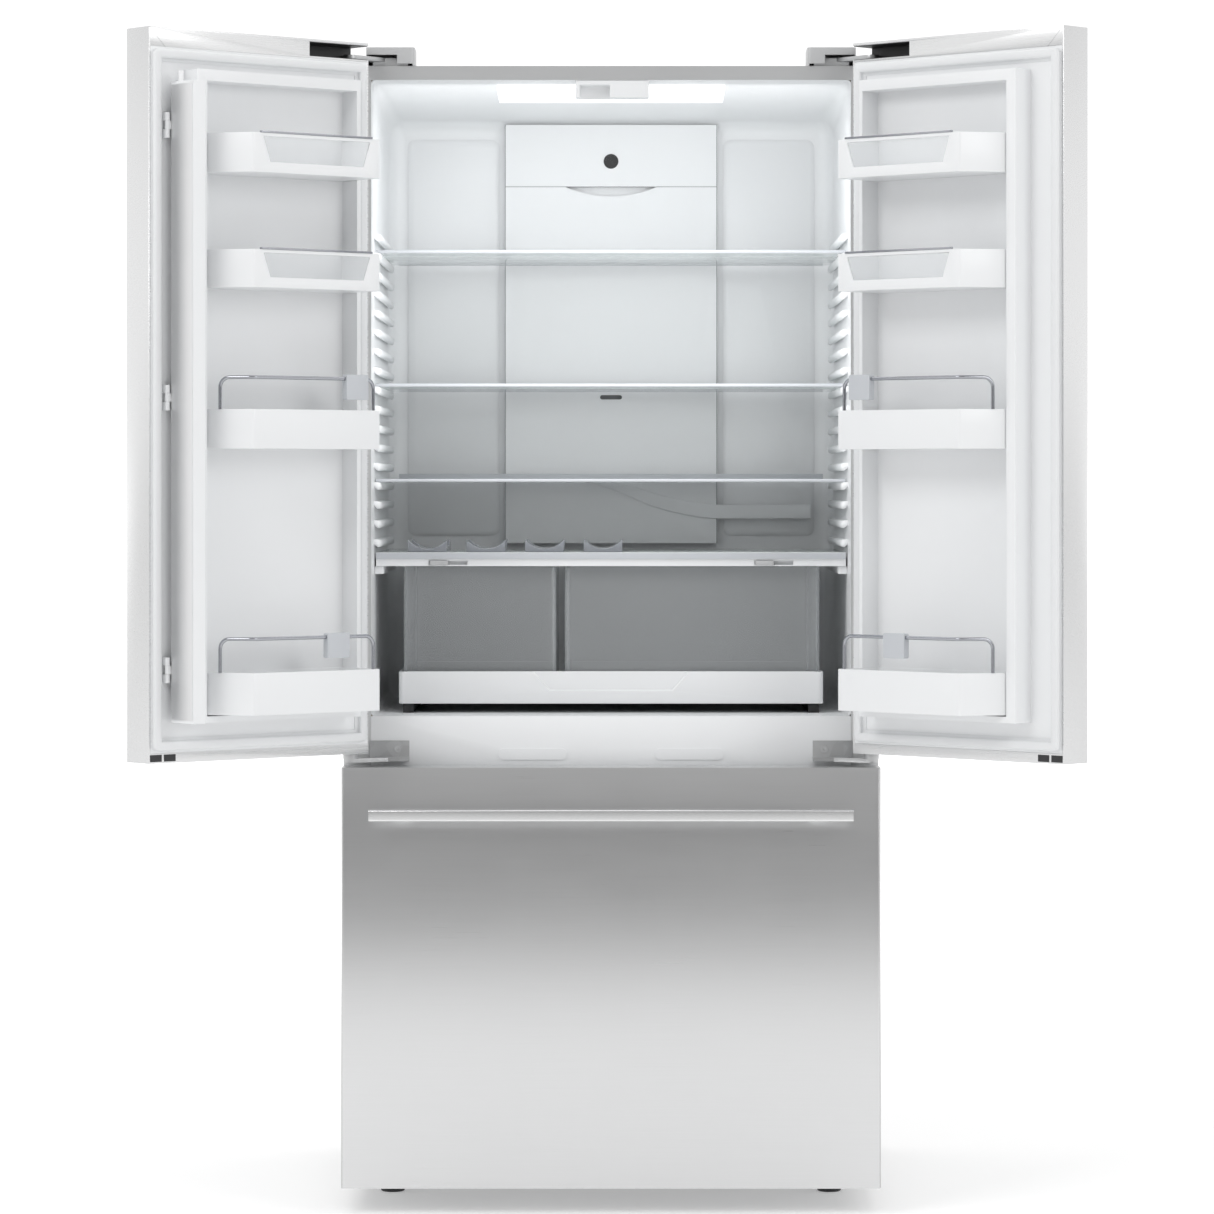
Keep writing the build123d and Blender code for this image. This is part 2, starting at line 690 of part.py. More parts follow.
def humidity_slider(x):
    """Small knob that slides in the lid's front slot and covers its air hole."""
    y0 = lid_front
    z0, z1 = lid_frame_bottom + 2, lid_frame_bottom + 8
    knob = block(x, x + slider_wide, y0 - 4, y0 + 9, z0, z1)
    return fillet(knob.faces().sort_by(Axis.Y)[0].edges().filter_by(Axis.Z), 2.5)


def bottle_cradles():
    """Four saddles on the lid that keep bottles from rolling."""
    cradles = []
    for step in range(4):
        x = cradle_first + cradle_pitch * step
        body = block(x - cradle_wide / 2, x + cradle_wide / 2, lid_front + 12, lid_front + 190,
                     lid_top, lid_top + cradle_high)
        body -= rod((x, 0, lid_top + 43), (0, 1, 0), 38, depth)
        body -= block(x - cradle_wide / 2 - 1, x + cradle_wide / 2 + 1, lid_front + 52,
                      lid_front + 150, lid_top + 8, height)
        cradles.append(body)
    return cradles


def drawer_rails():
    """Dark crisper runners, freezer drawer channels and the upper tray's ledges."""
    rails = []
    step_z = slide_z
    for side in (-1, 1):
        xs = sorted((side * (tray_half - 22), side * (tray_half - 6)))
        rails.append(block(*xs, crisper_front + 8, cavity_back - 20, fridge_floor, tray_bottom))
        xs = sorted((side * (cavity - 13.5), side * cavity))
        channel = block(*xs, shell_front + 20, evaporator_front - 10, step_z - 10, step_z + 10)
        xs = sorted((side * 0, side * (cavity - 5.5)))
        rails.append(channel - block(*xs, 0, depth, step_z - 4, step_z + 4))
        xs = sorted((side * (freezer_tray[0] - 14), side * cavity))
        rails.append(block(*xs, shell_front + 20, evaporator_front - 10, tray_rail_z,
                           freezer_tray[1]))
    return rails


def crisper_tray():
    """Pull-out tray of the crisper, with a finger dip in its front."""
    y0, y1 = crisper_front, crisper_front + crisper_deep
    top = tray_bottom + tray_front_high
    body = open_box(-tray_half, tray_half, y0, y1, tray_bottom, top, 3.0, 8.0)
    body += block(-tray_half + 12, tray_half - 12, y0 + 3, y0 + 18, tray_bottom + 3, top)
    dip = [(-118, top + 1), (-92, top - 28), (92, top - 28), (118, top + 1)]
    body -= prism_y(dip, y0 - 1, y0 + 12)
    return body


def crisper_bins():
    """Two clear bins that stand in the tray."""
    y0, y1 = crisper_front + 20, crisper_front + crisper_deep - 8
    z0, z1 = tray_bottom + 3, lid_frame_bottom - 2
    left = open_box(-tray_half + 6.4, bin_split[0], y0, y1, z0, z1, 2.5, 10.0)
    right = open_box(bin_split[1], tray_half - 4.7, y0, y1, z0, z1, 2.5, 10.0)
    return [left, right]


# ---------------------------------------------------------------- freezer drawer

def bar(long, wide, thick, stand):
    """A bar handle along X on two posts: the door face is at y = 0."""
    outline = Plane.YZ.offset(-long / 2) * Pos(-stand - thick / 2, 0) * RectangleRounded(thick, wide, 3)
    grip = extrude(outline, amount=long)
    for side in (-1, 1):
        post = extrude(Plane.XZ * (Pos(side * (long / 2 - post_inset), 0) * RectangleRounded(26, wide - 4, 3)),
                       amount=stand + 2)
        grip += post
    return grip


def pan_door(x0, x1, y0, y1, z0, z1, mouth):
    """A hollow steel door pan: rounded front edges and an opening at its back."""
    body = block(x0, x1, y0, y1, z0, z1)
    body = fillet(body.faces().sort_by(Axis.Y)[0].edges().filter_by(Axis.Z), 4)
    body -= block(x0 + sheet, x1 - sheet, y0 + sheet, y1 - sheet, z0 + sheet, z1 - sheet)
    return body - block(mouth[0], mouth[1], (y0 + y1) / 2, y1 + 1, mouth[2], mouth[3])


def drawer_skin():
    """Steel front of the freezer drawer."""
    return pan_door(-half, half, 0, door_thick, cabinet_bottom, drawer_top, drawer_mouth)


def drawer_foam():
    """Foam inside the drawer front."""
    x, y1 = half - sheet, door_thick - skin_wall
    slab = block(-x, x, sheet, y1, cabinet_bottom + sheet, drawer_top - sheet)
    slab = fillet(slab.faces().sort_by(Axis.Y)[0].edges().filter_by(Axis.Z), 3.5)
    return slab


def drawer_liner():
    """Inner face of the drawer front, with its raised rim."""
    x0, x1, z0, z1 = drawer_mouth
    plate = block(x0, x1, door_thick - skin_wall, door_thick, z0, z1)
    rim = block(-ring_half, ring_half, door_thick, door_thick + ring_deep, ring_low, ring_high)
    rim -= block(-ring_half + ring_wide, ring_half - ring_wide, door_thick - 1, depth,
                 ring_low + ring_wide, ring_high - ring_wide)
    return plate + rim


def ring_gasket(x0, x1, z0, z1, y0):
    """Magnetic door seal: a soft rectangular ring."""
    outer = block(x0, x1, y0, y0 + gasket_thick, z0, z1)
    outer = fillet(outer.edges().filter_by(Axis.Y), 8)
    inner = block(x0 + gasket_wide, x1 - gasket_wide, y0 - 1, y0 + gasket_thick + 1,
                  z0 + gasket_wide, z1 - gasket_wide)
    return outer - inner


def drawer_gasket():
    """Seal of the freezer drawer."""
    x0, x1, z0, z1 = drawer_mouth
    return ring_gasket(x0 + 1, x1 - 1, z0 + 1, z1 - 1, door_thick)


def drawer_handle():
    """Bar handle across the drawer."""
    return Pos(0, 0, drawer_handle_z) * bar(drawer_handle_long, handle_wide, handle_thick, handle_stand)


def drawer_slides():
    """Runners fixed to the drawer front, tongues in the cabinet's channels."""
    slides = []
    for side in (-1, 1):
        xs = sorted((side * (ring_half - ring_wide - 14), side * (cavity - 15.5)))
        reach = evaporator_front - 16
        bar_xs = sorted((side * (ring_half - ring_wide - 14), side * (ring_half - ring_wide - 0.6)))
        runner = block(*bar_xs, door_thick, reach, slide_z - 8, slide_z + 8)
        runner += block(*xs, door_thick + ring_deep + 8, reach, slide_z - 8, slide_z + 8)
        xs = sorted((side * (cavity - 16), side * (cavity - 6)))
        runner += block(*xs, door_thick + ring_deep + 8, reach, slide_z - 3.5, slide_z + 3.5)
        slides.append(runner)
    return slides


def freezer_lower_bin():
    """Deep bin that rides on the drawer front."""
    x, z0, z1 = freezer_bin
    return open_box(-x, x, door_thick, machine_front - step_wall - 12, z0, z1, 3.0, 14.0)


def freezer_upper_tray():
    """Shallow tray above the bin, on its own ledges."""
    x, z0, z1 = freezer_tray
    return open_box(-x, x, door_thick + ring_deep + 8, evaporator_front - 18, z0, z1, 3.0, 14.0)


# ---------------------------------------------------------------- doors

def hinge_pocket():
    """Room in the door's top for the hinge arm, open to its back and to its hinge edge."""
    return block(hinge_edge - 1, pocket_reach, -13, w_back + 1, *pocket_z)


def door_skin():
    """Steel door pan."""
    mouth = (hinge_edge + flange_side, free - flange_side, liner_low, liner_high)
    body = pan_door(hinge_edge, free, w_front, w_back, door_bottom, height, mouth)
    body -= hinge_pocket()
    return body - rod((0, 0, 0), (0, 0, 1), bush_radius, door_bottom + 5)


def rim(grow):
    """The liner's raised rim, as a solid ring shrunk by grow on every side."""
    top = w_back + rim_high - grow
    outer = block(rim_near + grow, rim_free - grow, w_back - skin_wall, top,
                  rim_bottom + grow, rim_top - grow)
    hole = block(rim_near + rim_hinge - grow, rim_free - rim_side + grow, 0, top + 1,
                 rim_bottom + rim_bottom_wide - grow, rim_top - rim_top_wide + grow)
    return outer - hole


def door_foam():
    """Foam that fills the door pan, and four bars of it that fill the liner's rim."""
    slab = block(hinge_edge + sheet, free - sheet, w_front + sheet, w_back - skin_wall,
                 door_bottom + sheet, height - sheet)
    slab = fillet(slab.faces().sort_by(Axis.Y)[0].edges().filter_by(Axis.Z), 3.5)
    slab -= block(hinge_edge, pocket_reach + 1, -14, w_back, pocket_z[0] - 1, pocket_z[1] + 1)
    slab -= rod((0, 0, 0), (0, 0, 1), bush_radius, door_bottom + bush_long)
    slab -= rod((0, 0, cabinet_top - bush_long + 1), (0, 0, 1), bush_radius, 60)
    u0, u1 = rim_near + skin_wall, rim_free - skin_wall
    w0, w1 = w_back - skin_wall, w_back + rim_high - skin_wall
    z0, z1 = rim_bottom + skin_wall, rim_top - skin_wall
    low, high = rim_bottom + rim_bottom_wide - skin_wall, rim_top - rim_top_wide + skin_wall
    return [slab, block(u0, u1, w0, w1, z0, low), block(u0, u1, w0, w1, high, z1),
            block(u0, rim_near + rim_hinge - skin_wall, w0, w1, low, high),
            block(rim_free - rim_side + skin_wall, u1, w0, w1, low, high)]


def door_liner(side):
    """White inner panel with its rim, and the two bushes that take the hinge pins."""
    plate = block(hinge_edge + flange_side, free - flange_side, w_back - skin_wall, w_back,
                  liner_low, liner_high)
    body = plate + rim(0) - rim(skin_wall)
    bushes = []
    for z0, z1 in ((door_bottom, door_bottom + bush_long), (cabinet_top - bush_long + 1, pocket_z[0] - 1)):
        bush = rod((0, 0, z0), (0, 0, 1), bush_radius, z1 - z0)
        bushes.append(bush - rod((0, 0, z0 - 1), (0, 0, 1), pin_radius + running, z1 - z0 + 2))
    if side < 0:
        for z in knuckle_heights:
            for low, high in ((z - 12, z), (z + 12.6, z + 24)):
                knuckle = rod((mullion_u, mullion_w, low), (0, 0, 1), knuckle_radius, high - low)
                knuckle += block(mullion_u - 2.5, mullion_u + knuckle_radius, w_back, mullion_w, low, high)
                body += knuckle
            body += rod((mullion_u, mullion_w, z - 12), (0, 0, 1), knuckle_pin, 36)
    return [body] + bushes


def door_gasket():
    """Seal around the door's inner face."""
    return ring_gasket(hinge_edge + 8, free - flange_side, liner_low + 3, liner_high - 3, w_back)


def door_handle():
    """Upright bar handle near the free edge."""
    upright = Rot(0, -90, 0) * bar(handle_long, handle_wide, handle_thick, handle_stand)
    return Pos(free - handle_edge, w_front, handle_z) * upright


def bin_plan():
    """Outline of a door bin: a straight front and a slanted end."""
    plan = Polygon((bin_near, w_back), (bin_far, w_back), (bin_far, bin_face - bin_facet_deep),
                   (bin_far - bin_facet, bin_face), (bin_near, bin_face), align=None)
    return fillet(plan.vertices().group_by(Axis.Y)[-1], 6)


def bin_tray(low, high):
    """A door bin, open at the top."""
    inner = offset(bin_plan(), -tray_wall)
    return prism_z(bin_plan(), low, low + high) - prism_z(inner, low + 3, low + high + 1)


def window_outline(low, high, shrink):
    """Trapezoid window in a small bin's front."""
    u0, u1 = bin_near + 20, bin_far - bin_facet - 18
    z0, z1 = low + 15, low + high - 5
    return [(u0 + 12 + shrink, z0 + shrink), (u1 - 12 - shrink, z0 + shrink),
            (u1 - shrink, z1 - shrink), (u0 + shrink, z1 - shrink)]


def wire_ends():
    """Feet of a bin's wire guard: on the slanted end, and near the hinge."""
    return (bin_far - 10.0, bin_face - 43.7), (bin_near + 12.0, bin_face - 3.5)


def door_bins():
    """Two small bins with a window opening, and two large ones with wire seats."""
    bins = []
    for low, high in small_bins:
        tray = bin_tray(low, high)
        bins.append(tray - prism_y(window_outline(low, high, 0), bin_face - tray_wall - 1, bin_face + 1))
    for low, high, _ in large_bins:
        tray = bin_tray(low, high)
        for u, w in wire_ends():
            tray += rod((u, w, low + 3), (0, 0, 1), 4.5, high - 3) & prism_z(bin_plan(), low, low + high)
        u1 = bin_near + 62
        tray += block(bin_near + 18, u1, bin_face - 8, bin_face - 1, low + 20, low + high)
        bins.append(tray)
    return bins


def bin_guards():
    """Clear windows with a metal rail, and bent wire guards."""
    guards = []
    for low, high in small_bins:
        pane = prism_y(window_outline(low, high, 0), bin_face - tray_wall + 0.5, bin_face - 0.5)
        u0, u1 = bin_near + 20, bin_far - bin_facet - 18
        rail = block(u0 - 4, u1 + 4, bin_face - 4.5, bin_face + 1, low + high, low + high + 3)
        guards += [pane, rail]
    (u_far, w_far), (u_near, w_near) = wire_ends()
    for low, high, above in large_bins:
        z0, z1 = low + high, low + high + above
        corner = (bin_far - bin_facet - 2.0, w_near, z1)
        path = FilletPolyline((u_far, w_far, z0), (u_far, w_far, z1), corner,
                              (u_near, w_near, z1), (u_near, w_near, z0), radius=wire_bend)
        section = Plane(origin=(u_far, w_far, z0), z_dir=(0, 0, 1)) * Circle(wire)
        guards.append(sweep(section, path=path))
    return guards


def clip(start, wire_z):
    """Bottle clip: a block that slides along the guard's straight wire."""
    w = bin_face - 3.5
    body = block(start, start + clip_wide, w - 5.5, w + 5.5, wire_z - 30, wire_z + 6)
    body = fillet(body.edges().filter_by(Axis.Y), 3)
    body -= block(start + 6, start + clip_wide - 6, w - 6, w + 2, wire_z - 24, wire_z - 8)
    return body - rod((start - 1, w, wire_z), (1, 0, 0), wire + slip, clip_wide + 2)


def flip_mullion():
    """Hinged post that closes the gap between the doors: body, metal face and guide pin."""
    u1 = mullion_u - mullion_step
    u0 = u1 - mullion_thick
    w0 = mullion_w + 2
    body = block(u0, u1 - 1, w0, w0 + mullion_wide, mullion_bottom, mullion_top)
    body = fillet(body.faces().sort_by(Axis.X)[0].edges().filter_by(Axis.Z), 4)
    face = block(u1 - 1, u1, w0 + 1.5, w0 + mullion_wide - 1.5, mullion_bottom + 4, mullion_top - 4)
    body += rod((mullion_u - guide_pin_u, mullion_w + guide_pin_w, mullion_top - 5), (0, 0, 1),
                guide_pin_radius, guide_pin_high + 5)
    for z in knuckle_heights:
        lug = rod((mullion_u, mullion_w, z + slip), (0, 0, 1), knuckle_radius - 0.2, 12)
        lug += block(u1 - 4, mullion_u, mullion_w + 0.5, mullion_w + 3.4, z + slip, z + slip + 12)
        body += lug
        body -= rod((mullion_u, mullion_w, z - 13), (0, 0, 1), knuckle_pin + running, 40)
        body -= block(u1 - 1, u1, w0, w0 + 1.5, z - 13, z + 25)
    return [body, face]


# ---------------------------------------------------------------- write the nodes

os.makedirs("parts", exist_ok=True)

save("cabinet_shell", cabinet_shell())
save("back_panels", *back_panels())
save("base_frame", base_frame())
save("levelling_feet", *levelling_feet())
save("rear_rollers", *rear_rollers())
save("cabinet_foam", *cabinet_foam(), divider_core())
save("fridge_liner", fridge_liner())
save("freezer_liner", *freezer_liner())
save("divider_front", divider_front())
save("duct_cover", *duct_cover())
save("light_panel", light_panel())
save("mullion_guide", mullion_guide())
save("door_hinges", *door_hinges())
save("hinge_covers", *hinge_covers())
save("evaporator", *evaporator())
save("evaporator_fan", evaporator_fan())
save("compressor", compressor())
save("condenser", *condenser())
save("condenser_fan", condenser_fan())
for number, step in enumerate(shelf_ribs, 1):
    glass, trims = shelf_parts(step)
    save(f"shelf_{number}_glass", glass)
    save(f"shelf_{number}_trims", *trims)
save("lid_frame", lid_frame())
save("lid_glass", lid_glass())
save("humidity_slider_left", humidity_slider(slider_left))
save("humidity_slider_right", humidity_slider(slider_right))
save("bottle_cradles", *bottle_cradles())
save("drawer_rails", *drawer_rails())
save("crisper_tray", crisper_tray())
save("crisper_bins", *crisper_bins())
save("drawer_skin", drawer_skin())
save("drawer_foam", drawer_foam())
save("drawer_liner", drawer_liner())
save("drawer_gasket", drawer_gasket())
save("drawer_handle", drawer_handle())
save("drawer_slides", *drawer_slides())
save("freezer_bin", freezer_lower_bin())
save("freezer_tray", freezer_upper_tray())
for side, name in ((-1, "left"), (1, "right")):
    save(f"{name}_door_skin", hang(door_skin(), side))
    save(f"{name}_door_foam", *[hang(piece, side) for piece in door_foam()])
    save(f"{name}_door_liner", *[hang(piece, side) for piece in door_liner(side)])
    save(f"{name}_door_gasket", hang(door_gasket(), side))
    save(f"{name}_door_handle", hang(door_handle(), side))
    save(f"{name}_door_bins", *[hang(piece, side) for piece in door_bins()])
    save(f"{name}_bin_guards", *[hang(piece, side) for piece in bin_guards()])
    for start, (low, high, above), place in zip(clip_starts[side], large_bins, ("upper", "lower")):
        save(f"{name}_clip_{place}", hang(clip(start, low + high + above), side))
save("flip_mullion", *[hang(piece, -1) for piece in flip_mullion()])
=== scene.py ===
import json
from math import cos, pi, radians, sin

import bmesh
import bpy
from mathutils import Matrix, Vector


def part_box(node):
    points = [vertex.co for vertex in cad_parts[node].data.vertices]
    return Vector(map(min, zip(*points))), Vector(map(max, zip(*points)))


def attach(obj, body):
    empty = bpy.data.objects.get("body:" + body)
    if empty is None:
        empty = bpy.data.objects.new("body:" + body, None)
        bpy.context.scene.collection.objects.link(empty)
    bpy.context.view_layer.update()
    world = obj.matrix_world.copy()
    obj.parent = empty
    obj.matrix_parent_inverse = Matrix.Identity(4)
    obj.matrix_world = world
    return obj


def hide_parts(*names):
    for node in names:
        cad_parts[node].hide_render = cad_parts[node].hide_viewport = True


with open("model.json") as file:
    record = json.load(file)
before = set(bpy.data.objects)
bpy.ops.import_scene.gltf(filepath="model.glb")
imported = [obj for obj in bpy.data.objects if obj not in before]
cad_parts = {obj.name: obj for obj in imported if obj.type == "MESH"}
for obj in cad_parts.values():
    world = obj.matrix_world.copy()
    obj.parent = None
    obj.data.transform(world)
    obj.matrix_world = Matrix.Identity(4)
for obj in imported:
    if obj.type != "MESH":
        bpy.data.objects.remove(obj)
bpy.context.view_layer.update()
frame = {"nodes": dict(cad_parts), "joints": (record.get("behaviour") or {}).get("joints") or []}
nodes = frame["nodes"]
mm = 0.001
print("frame loaded:", len(nodes), "nodes")

# what the doors hang on, taken from their joints
hinges = {joint["name"]: joint for joint in frame["joints"]}
sides = {"left": -1, "right": 1}


def doorMatrix(side):
    # the door's own frame: x along the door from its pin, y inwards, z up
    joint = hinges[f"{side}_door_hinge"]
    turn = Matrix.Rotation(radians(-joint["range_deg"][0]) * sides[side], 4, "Z")
    flip = Matrix.Scale(-1, 4, (1, 0, 0)) if side == "right" else Matrix.Identity(4)
    pin = Vector((joint["pos_m"][0], joint["pos_m"][1], 0))
    return Matrix.Translation(pin) @ turn @ flip


def localBox(node, side):
    # a door node's low and high corner in the door's own frame
    back = doorMatrix(side).inverted()
    points = [back @ v.co for v in nodes[node].data.vertices]
    low = Vector(min(p[i] for p in points) for i in range(3))
    high = Vector(max(p[i] for p in points) for i in range(3))
    return low, high


# materials

class Signal:
    # a socket that can be used in sums
    def __init__(self, finish, socket):
        self.finish = finish
        self.socket = socket

    def join(self, operation, first, second):
        inputs = {0: getattr(first, "socket", first), 1: getattr(second, "socket", second)}
        return self.finish.add("ShaderNodeMath", {"operation": operation}, inputs)

    def __add__(self, other):
        return self.join("ADD", self, other)

    def __sub__(self, other):
        return self.join("SUBTRACT", self, other)

    def __rsub__(self, other):
        return self.join("SUBTRACT", other, self)

    def __mul__(self, other):
        return self.join("MULTIPLY", self, other)

    __radd__ = __add__
    __rmul__ = __mul__


class Finish:
    # one material with a Principled shader, and a short way to add nodes to it
    def __init__(self, name, **constants):
        self.material = bpy.data.materials.new(name)
        self.material.use_nodes = True
        self.tree = self.material.node_tree
        self.shader = self.tree.nodes["Principled BSDF"]
        for key, value in constants.items():
            self.shader.inputs[key.replace("_", " ")].default_value = value

    def add(self, kind, settings=None, inputs=None, out=0):
        node = self.tree.nodes.new(kind)
        for key, value in (settings or {}).items():
            if key == "stops":
                for stop, (place, colour) in zip((node.color_ramp.elements[0],
                                                  node.color_ramp.elements[1]), value):
                    stop.position = place
                    stop.color = colour
            else:
                setattr(node, key, value)
        for key, value in (inputs or {}).items():
            value = getattr(value, "socket", value)
            if isinstance(value, bpy.types.NodeSocket):
                self.tree.links.new(value, node.inputs[key])
            else:
                node.inputs[key].default_value = value
        return Signal(self, node.outputs[out])

    def feed(self, key, signal):
        self.tree.links.new(signal.socket, self.shader.inputs[key])

    def place(self, stretch=(1, 1, 1), turn=0.0):
        spot = self.add("ShaderNodeTexCoord", out=3)
        turned = self.add("ShaderNodeMapping", inputs={"Vector": spot, "Rotation": (0, 0, turn)})
        return self.add("ShaderNodeMapping", inputs={"Vector": turned, "Scale": stretch})

    def noise(self, spot, scale, detail=3.0, roughness=0.5):
        return self.add("ShaderNodeTexNoise", inputs={"Vector": spot, "Scale": scale,
                                                      "Detail": detail, "Roughness": roughness})

    def blend(self, mask, first, second):
        return self.add("ShaderNodeMix", {"data_type": "RGBA"}, {0: mask, 6: first, 7: second}, out=2)

    def bump(self, height, distance, strength=1.0):
        made = self.add("ShaderNodeBump", inputs={"Height": height, "Distance": distance,
                                                  "Strength": strength})
        self.feed("Normal", made)


def plastic(name, colour, roughness, grain=900.0, depth=0.00004, shade=0.03, **more):
    # moulded plastic: fine grain, slow change of gloss and of tone
    made = Finish(name, **more)
    spot = made.place()
    fine = made.noise(spot, grain, 2.0)
    slow = made.noise(spot, 6.0, 2.0)
    darker = tuple(c * (1 - shade) for c in colour[:3]) + (1,)
    made.feed("Base Color", made.blend(slow, darker, (*colour[:3], 1)))
    made.feed("Roughness", fine * 0.06 + slow * 0.08 + (roughness - 0.07))
    made.bump(fine, depth)
    return made.material


def brushed(name, colour, roughness, turn=0.0, along=(6.0, 900.0, 900.0), depth=0.00001, **more):
    # steel with fine scratches along the door, a slow gloss change and faint wiping marks
    made = Finish(name, Metallic=1.0, **more)
    hairs = made.noise(made.place(along, turn), 1.0, 3.0, 0.65)
    wide = made.noise(made.place((1.2, 7.0, 7.0), turn), 1.0, 2.0)
    smear = made.noise(made.place(), 5.0, 4.0, 0.7)
    dark = tuple(c * 0.94 for c in colour) + (1,)
    made.feed("Base Color", made.blend(hairs, dark, (*colour, 1)))
    made.feed("Roughness", hairs * 0.10 + wide * 0.03 + smear * 0.05 + (roughness - 0.09))
    made.bump(hairs, depth, 0.6)
    return made.material


def sheetMetal(name, colour, roughness, grain=60.0):
    # zinc-coated sheet with soft crystal patches
    made = Finish(name, Metallic=1.0)
    cells = made.add("ShaderNodeTexVoronoi", {"feature": "F1"}, {"Vector": made.place(), "Scale": grain}, 1)
    tone = made.add("ShaderNodeRGBToBW", inputs={0: cells})
    fine = made.noise(made.place(), 300.0)
    dark = tuple(c * 0.86 for c in colour) + (1,)
    made.feed("Base Color", made.blend(tone, dark, (*colour, 1)))
    made.feed("Roughness", tone * 0.12 + fine * 0.06 + (roughness - 0.08))
    made.bump(fine, 0.00002)
    return made.material


def clear(name, tint, alpha, edge, roughness=0.06):
    # thin clear sheet: faint face on, denser at a grazing angle, with slight gloss marks
    made = Finish(name, Specular_IOR_Level=0.6)
    spot = made.place()
    slow = made.noise(spot, 9.0, 3.0)
    facing = made.add("ShaderNodeLayerWeight", inputs={"Blend": 0.35}, out=1)
    made.feed("Base Color", made.blend(slow, tuple(c * 0.97 for c in tint) + (1,), (*tint, 1)))
    made.feed("Roughness", slow * 0.05 + roughness)
    made.feed("Alpha", facing * edge + alpha)
    return made.material


def doorSteel(side):
    turn = -radians(-hinges[f"{side}_door_hinge"]["range_deg"][0]) * sides[side]
    return brushed(f"{side}DoorSteel", (0.74, 0.742, 0.745), 0.28, turn)


def glowing(name, colour, strength):
    # prismatic light lens: bright with fine ridges
    made = Finish(name, Roughness=0.4)
    wave = made.add("ShaderNodeTexWave", {"bands_direction": "Y"},
                    {"Vector": made.place(), "Scale": 120.0, "Distortion": 0.0})
    made.feed("Base Color", made.blend(wave, (0.82, 0.83, 0.84, 1), (*colour, 1)))
    made.feed("Emission Color", made.blend(wave, (0.9, 0.94, 1.0, 1), (1, 1, 1, 1)))
    made.shader.inputs["Emission Strength"].default_value = strength
    made.bump(wave, 0.0003)
    return made.material


paints = {
    "white": plastic("whitePlastic", (0.86, 0.87, 0.88), 0.32, shade=0.015, Coat_Weight=0.15),
    "liner": plastic("linerPlastic", (0.88, 0.89, 0.90), 0.36, 500.0, 0.00006, 0.015),
    "seal": plastic("sealVinyl", (0.80, 0.81, 0.82), 0.5, 400.0, 0.00008, 0.04),
    "grey": plastic("greyPlastic", (0.52, 0.525, 0.53), 0.38, 700.0),
    "pale": plastic("paleGreyPlastic", (0.56, 0.58, 0.61), 0.35, 700.0),
    "dark": plastic("darkPlastic", (0.025, 0.025, 0.027), 0.42, 600.0, shade=0.2),
    "foam": plastic("foam", (0.80, 0.72, 0.50), 0.85, 120.0, 0.0004, 0.2),
    "black": plastic("blackPaint", (0.02, 0.02, 0.022), 0.3, 300.0, 0.00005, 0.3),
    "steel": brushed("drawerSteel", (0.74, 0.742, 0.745), 0.30),
    "handle": brushed("handleMetal", (0.80, 0.802, 0.805), 0.24, along=(900.0, 900.0, 900.0)),
    "mullion": brushed("mullionMetal", (0.80, 0.802, 0.805), 0.34, along=(700.0, 700.0, 9.0)),
    "wire": brushed("wireChrome", (0.42, 0.43, 0.46), 0.14, along=(300.0, 300.0, 300.0)),
    "zinc": sheetMetal("zincSheet", (0.58, 0.585, 0.59), 0.38),
    "wrapper": plastic("cabinetPaint", (0.62, 0.625, 0.63), 0.36, 700.0, 0.00005, Metallic=0.55),
    "coil": sheetMetal("coilAluminium", (0.72, 0.72, 0.73), 0.3, 140.0),
    "glass": clear("shelfGlass", (0.83, 0.89, 0.89), 0.16, 0.5, 0.02),
    "window": clear("clearPlastic", (0.86, 0.89, 0.91), 0.16, 0.55, 0.05),
    "edge": plastic("glassEdge", (0.34, 0.40, 0.41), 0.2, 300.0, 0.00002),
    "smoke": clear("smokedPlastic", (0.42, 0.44, 0.48), 0.55, 0.4, 0.1),
    # painted shade: a dark grey standing in for the shade in narrow gaps, joints and slots
    "seamShade": plastic("seamShadow", (0.22, 0.225, 0.23), 0.6, 200.0, 0.00002),
    "lens": glowing("lightLens", (0.95, 0.96, 0.97), 0.7),
}
for side in sides:
    paints[side] = doorSteel(side)
print("materials made:", len(paints))


# mesh helpers

def finishMesh(mesh, angle=30.0):
    mesh.polygons.foreach_set("use_smooth", [True] * len(mesh.polygons))
    mesh.set_sharp_from_angle(angle=radians(angle))


def addPiece(name, mesh, body, paint, stands=()):
    piece = bpy.data.objects.new(name, mesh)
    bpy.context.scene.collection.objects.link(piece)
    mesh.materials.clear()
    mesh.materials.append(paints[paint])
    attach(piece, body)
    if stands:
        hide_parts(*stands)
    return piece


def applied(mesh, modifiers):
    # the mesh with its modifiers worked in
    holder = bpy.data.objects.new("holder", mesh)
    bpy.context.scene.collection.objects.link(holder)
    for kind, settings in modifiers:
        modifier = holder.modifiers.new(kind, kind)
        for key, value in settings.items():
            setattr(modifier, key, value)
    graph = bpy.context.evaluated_depsgraph_get()
    made = bpy.data.meshes.new_from_object(holder.evaluated_get(graph))
    bpy.data.objects.remove(holder)
    return made


def cleanCopy(node, flatten=True):
    # a joined copy of a CAD node's mesh, with flat faces merged on request
    work = bmesh.new()
    work.from_mesh(nodes[node].data)
    bmesh.ops.remove_doubles(work, verts=work.verts, dist=0.00001)
    if flatten:
        bmesh.ops.dissolve_limit(work, angle_limit=radians(0.6), verts=work.verts, edges=work.edges)
    return work


def toMesh(work, name):
    mesh = bpy.data.meshes.new(name)
    work.to_mesh(mesh)
    work.free()
    return mesh


def rounded(mesh, width, segments=3, angle=35.0):
    return applied(mesh, [("BEVEL", {"width": width, "segments": segments, "limit_method": "ANGLE",
                                     "angle_limit": radians(angle), "use_clamp_overlap": True,
                                     "harden_normals": False, "miter_outer": "MITER_ARC"})])


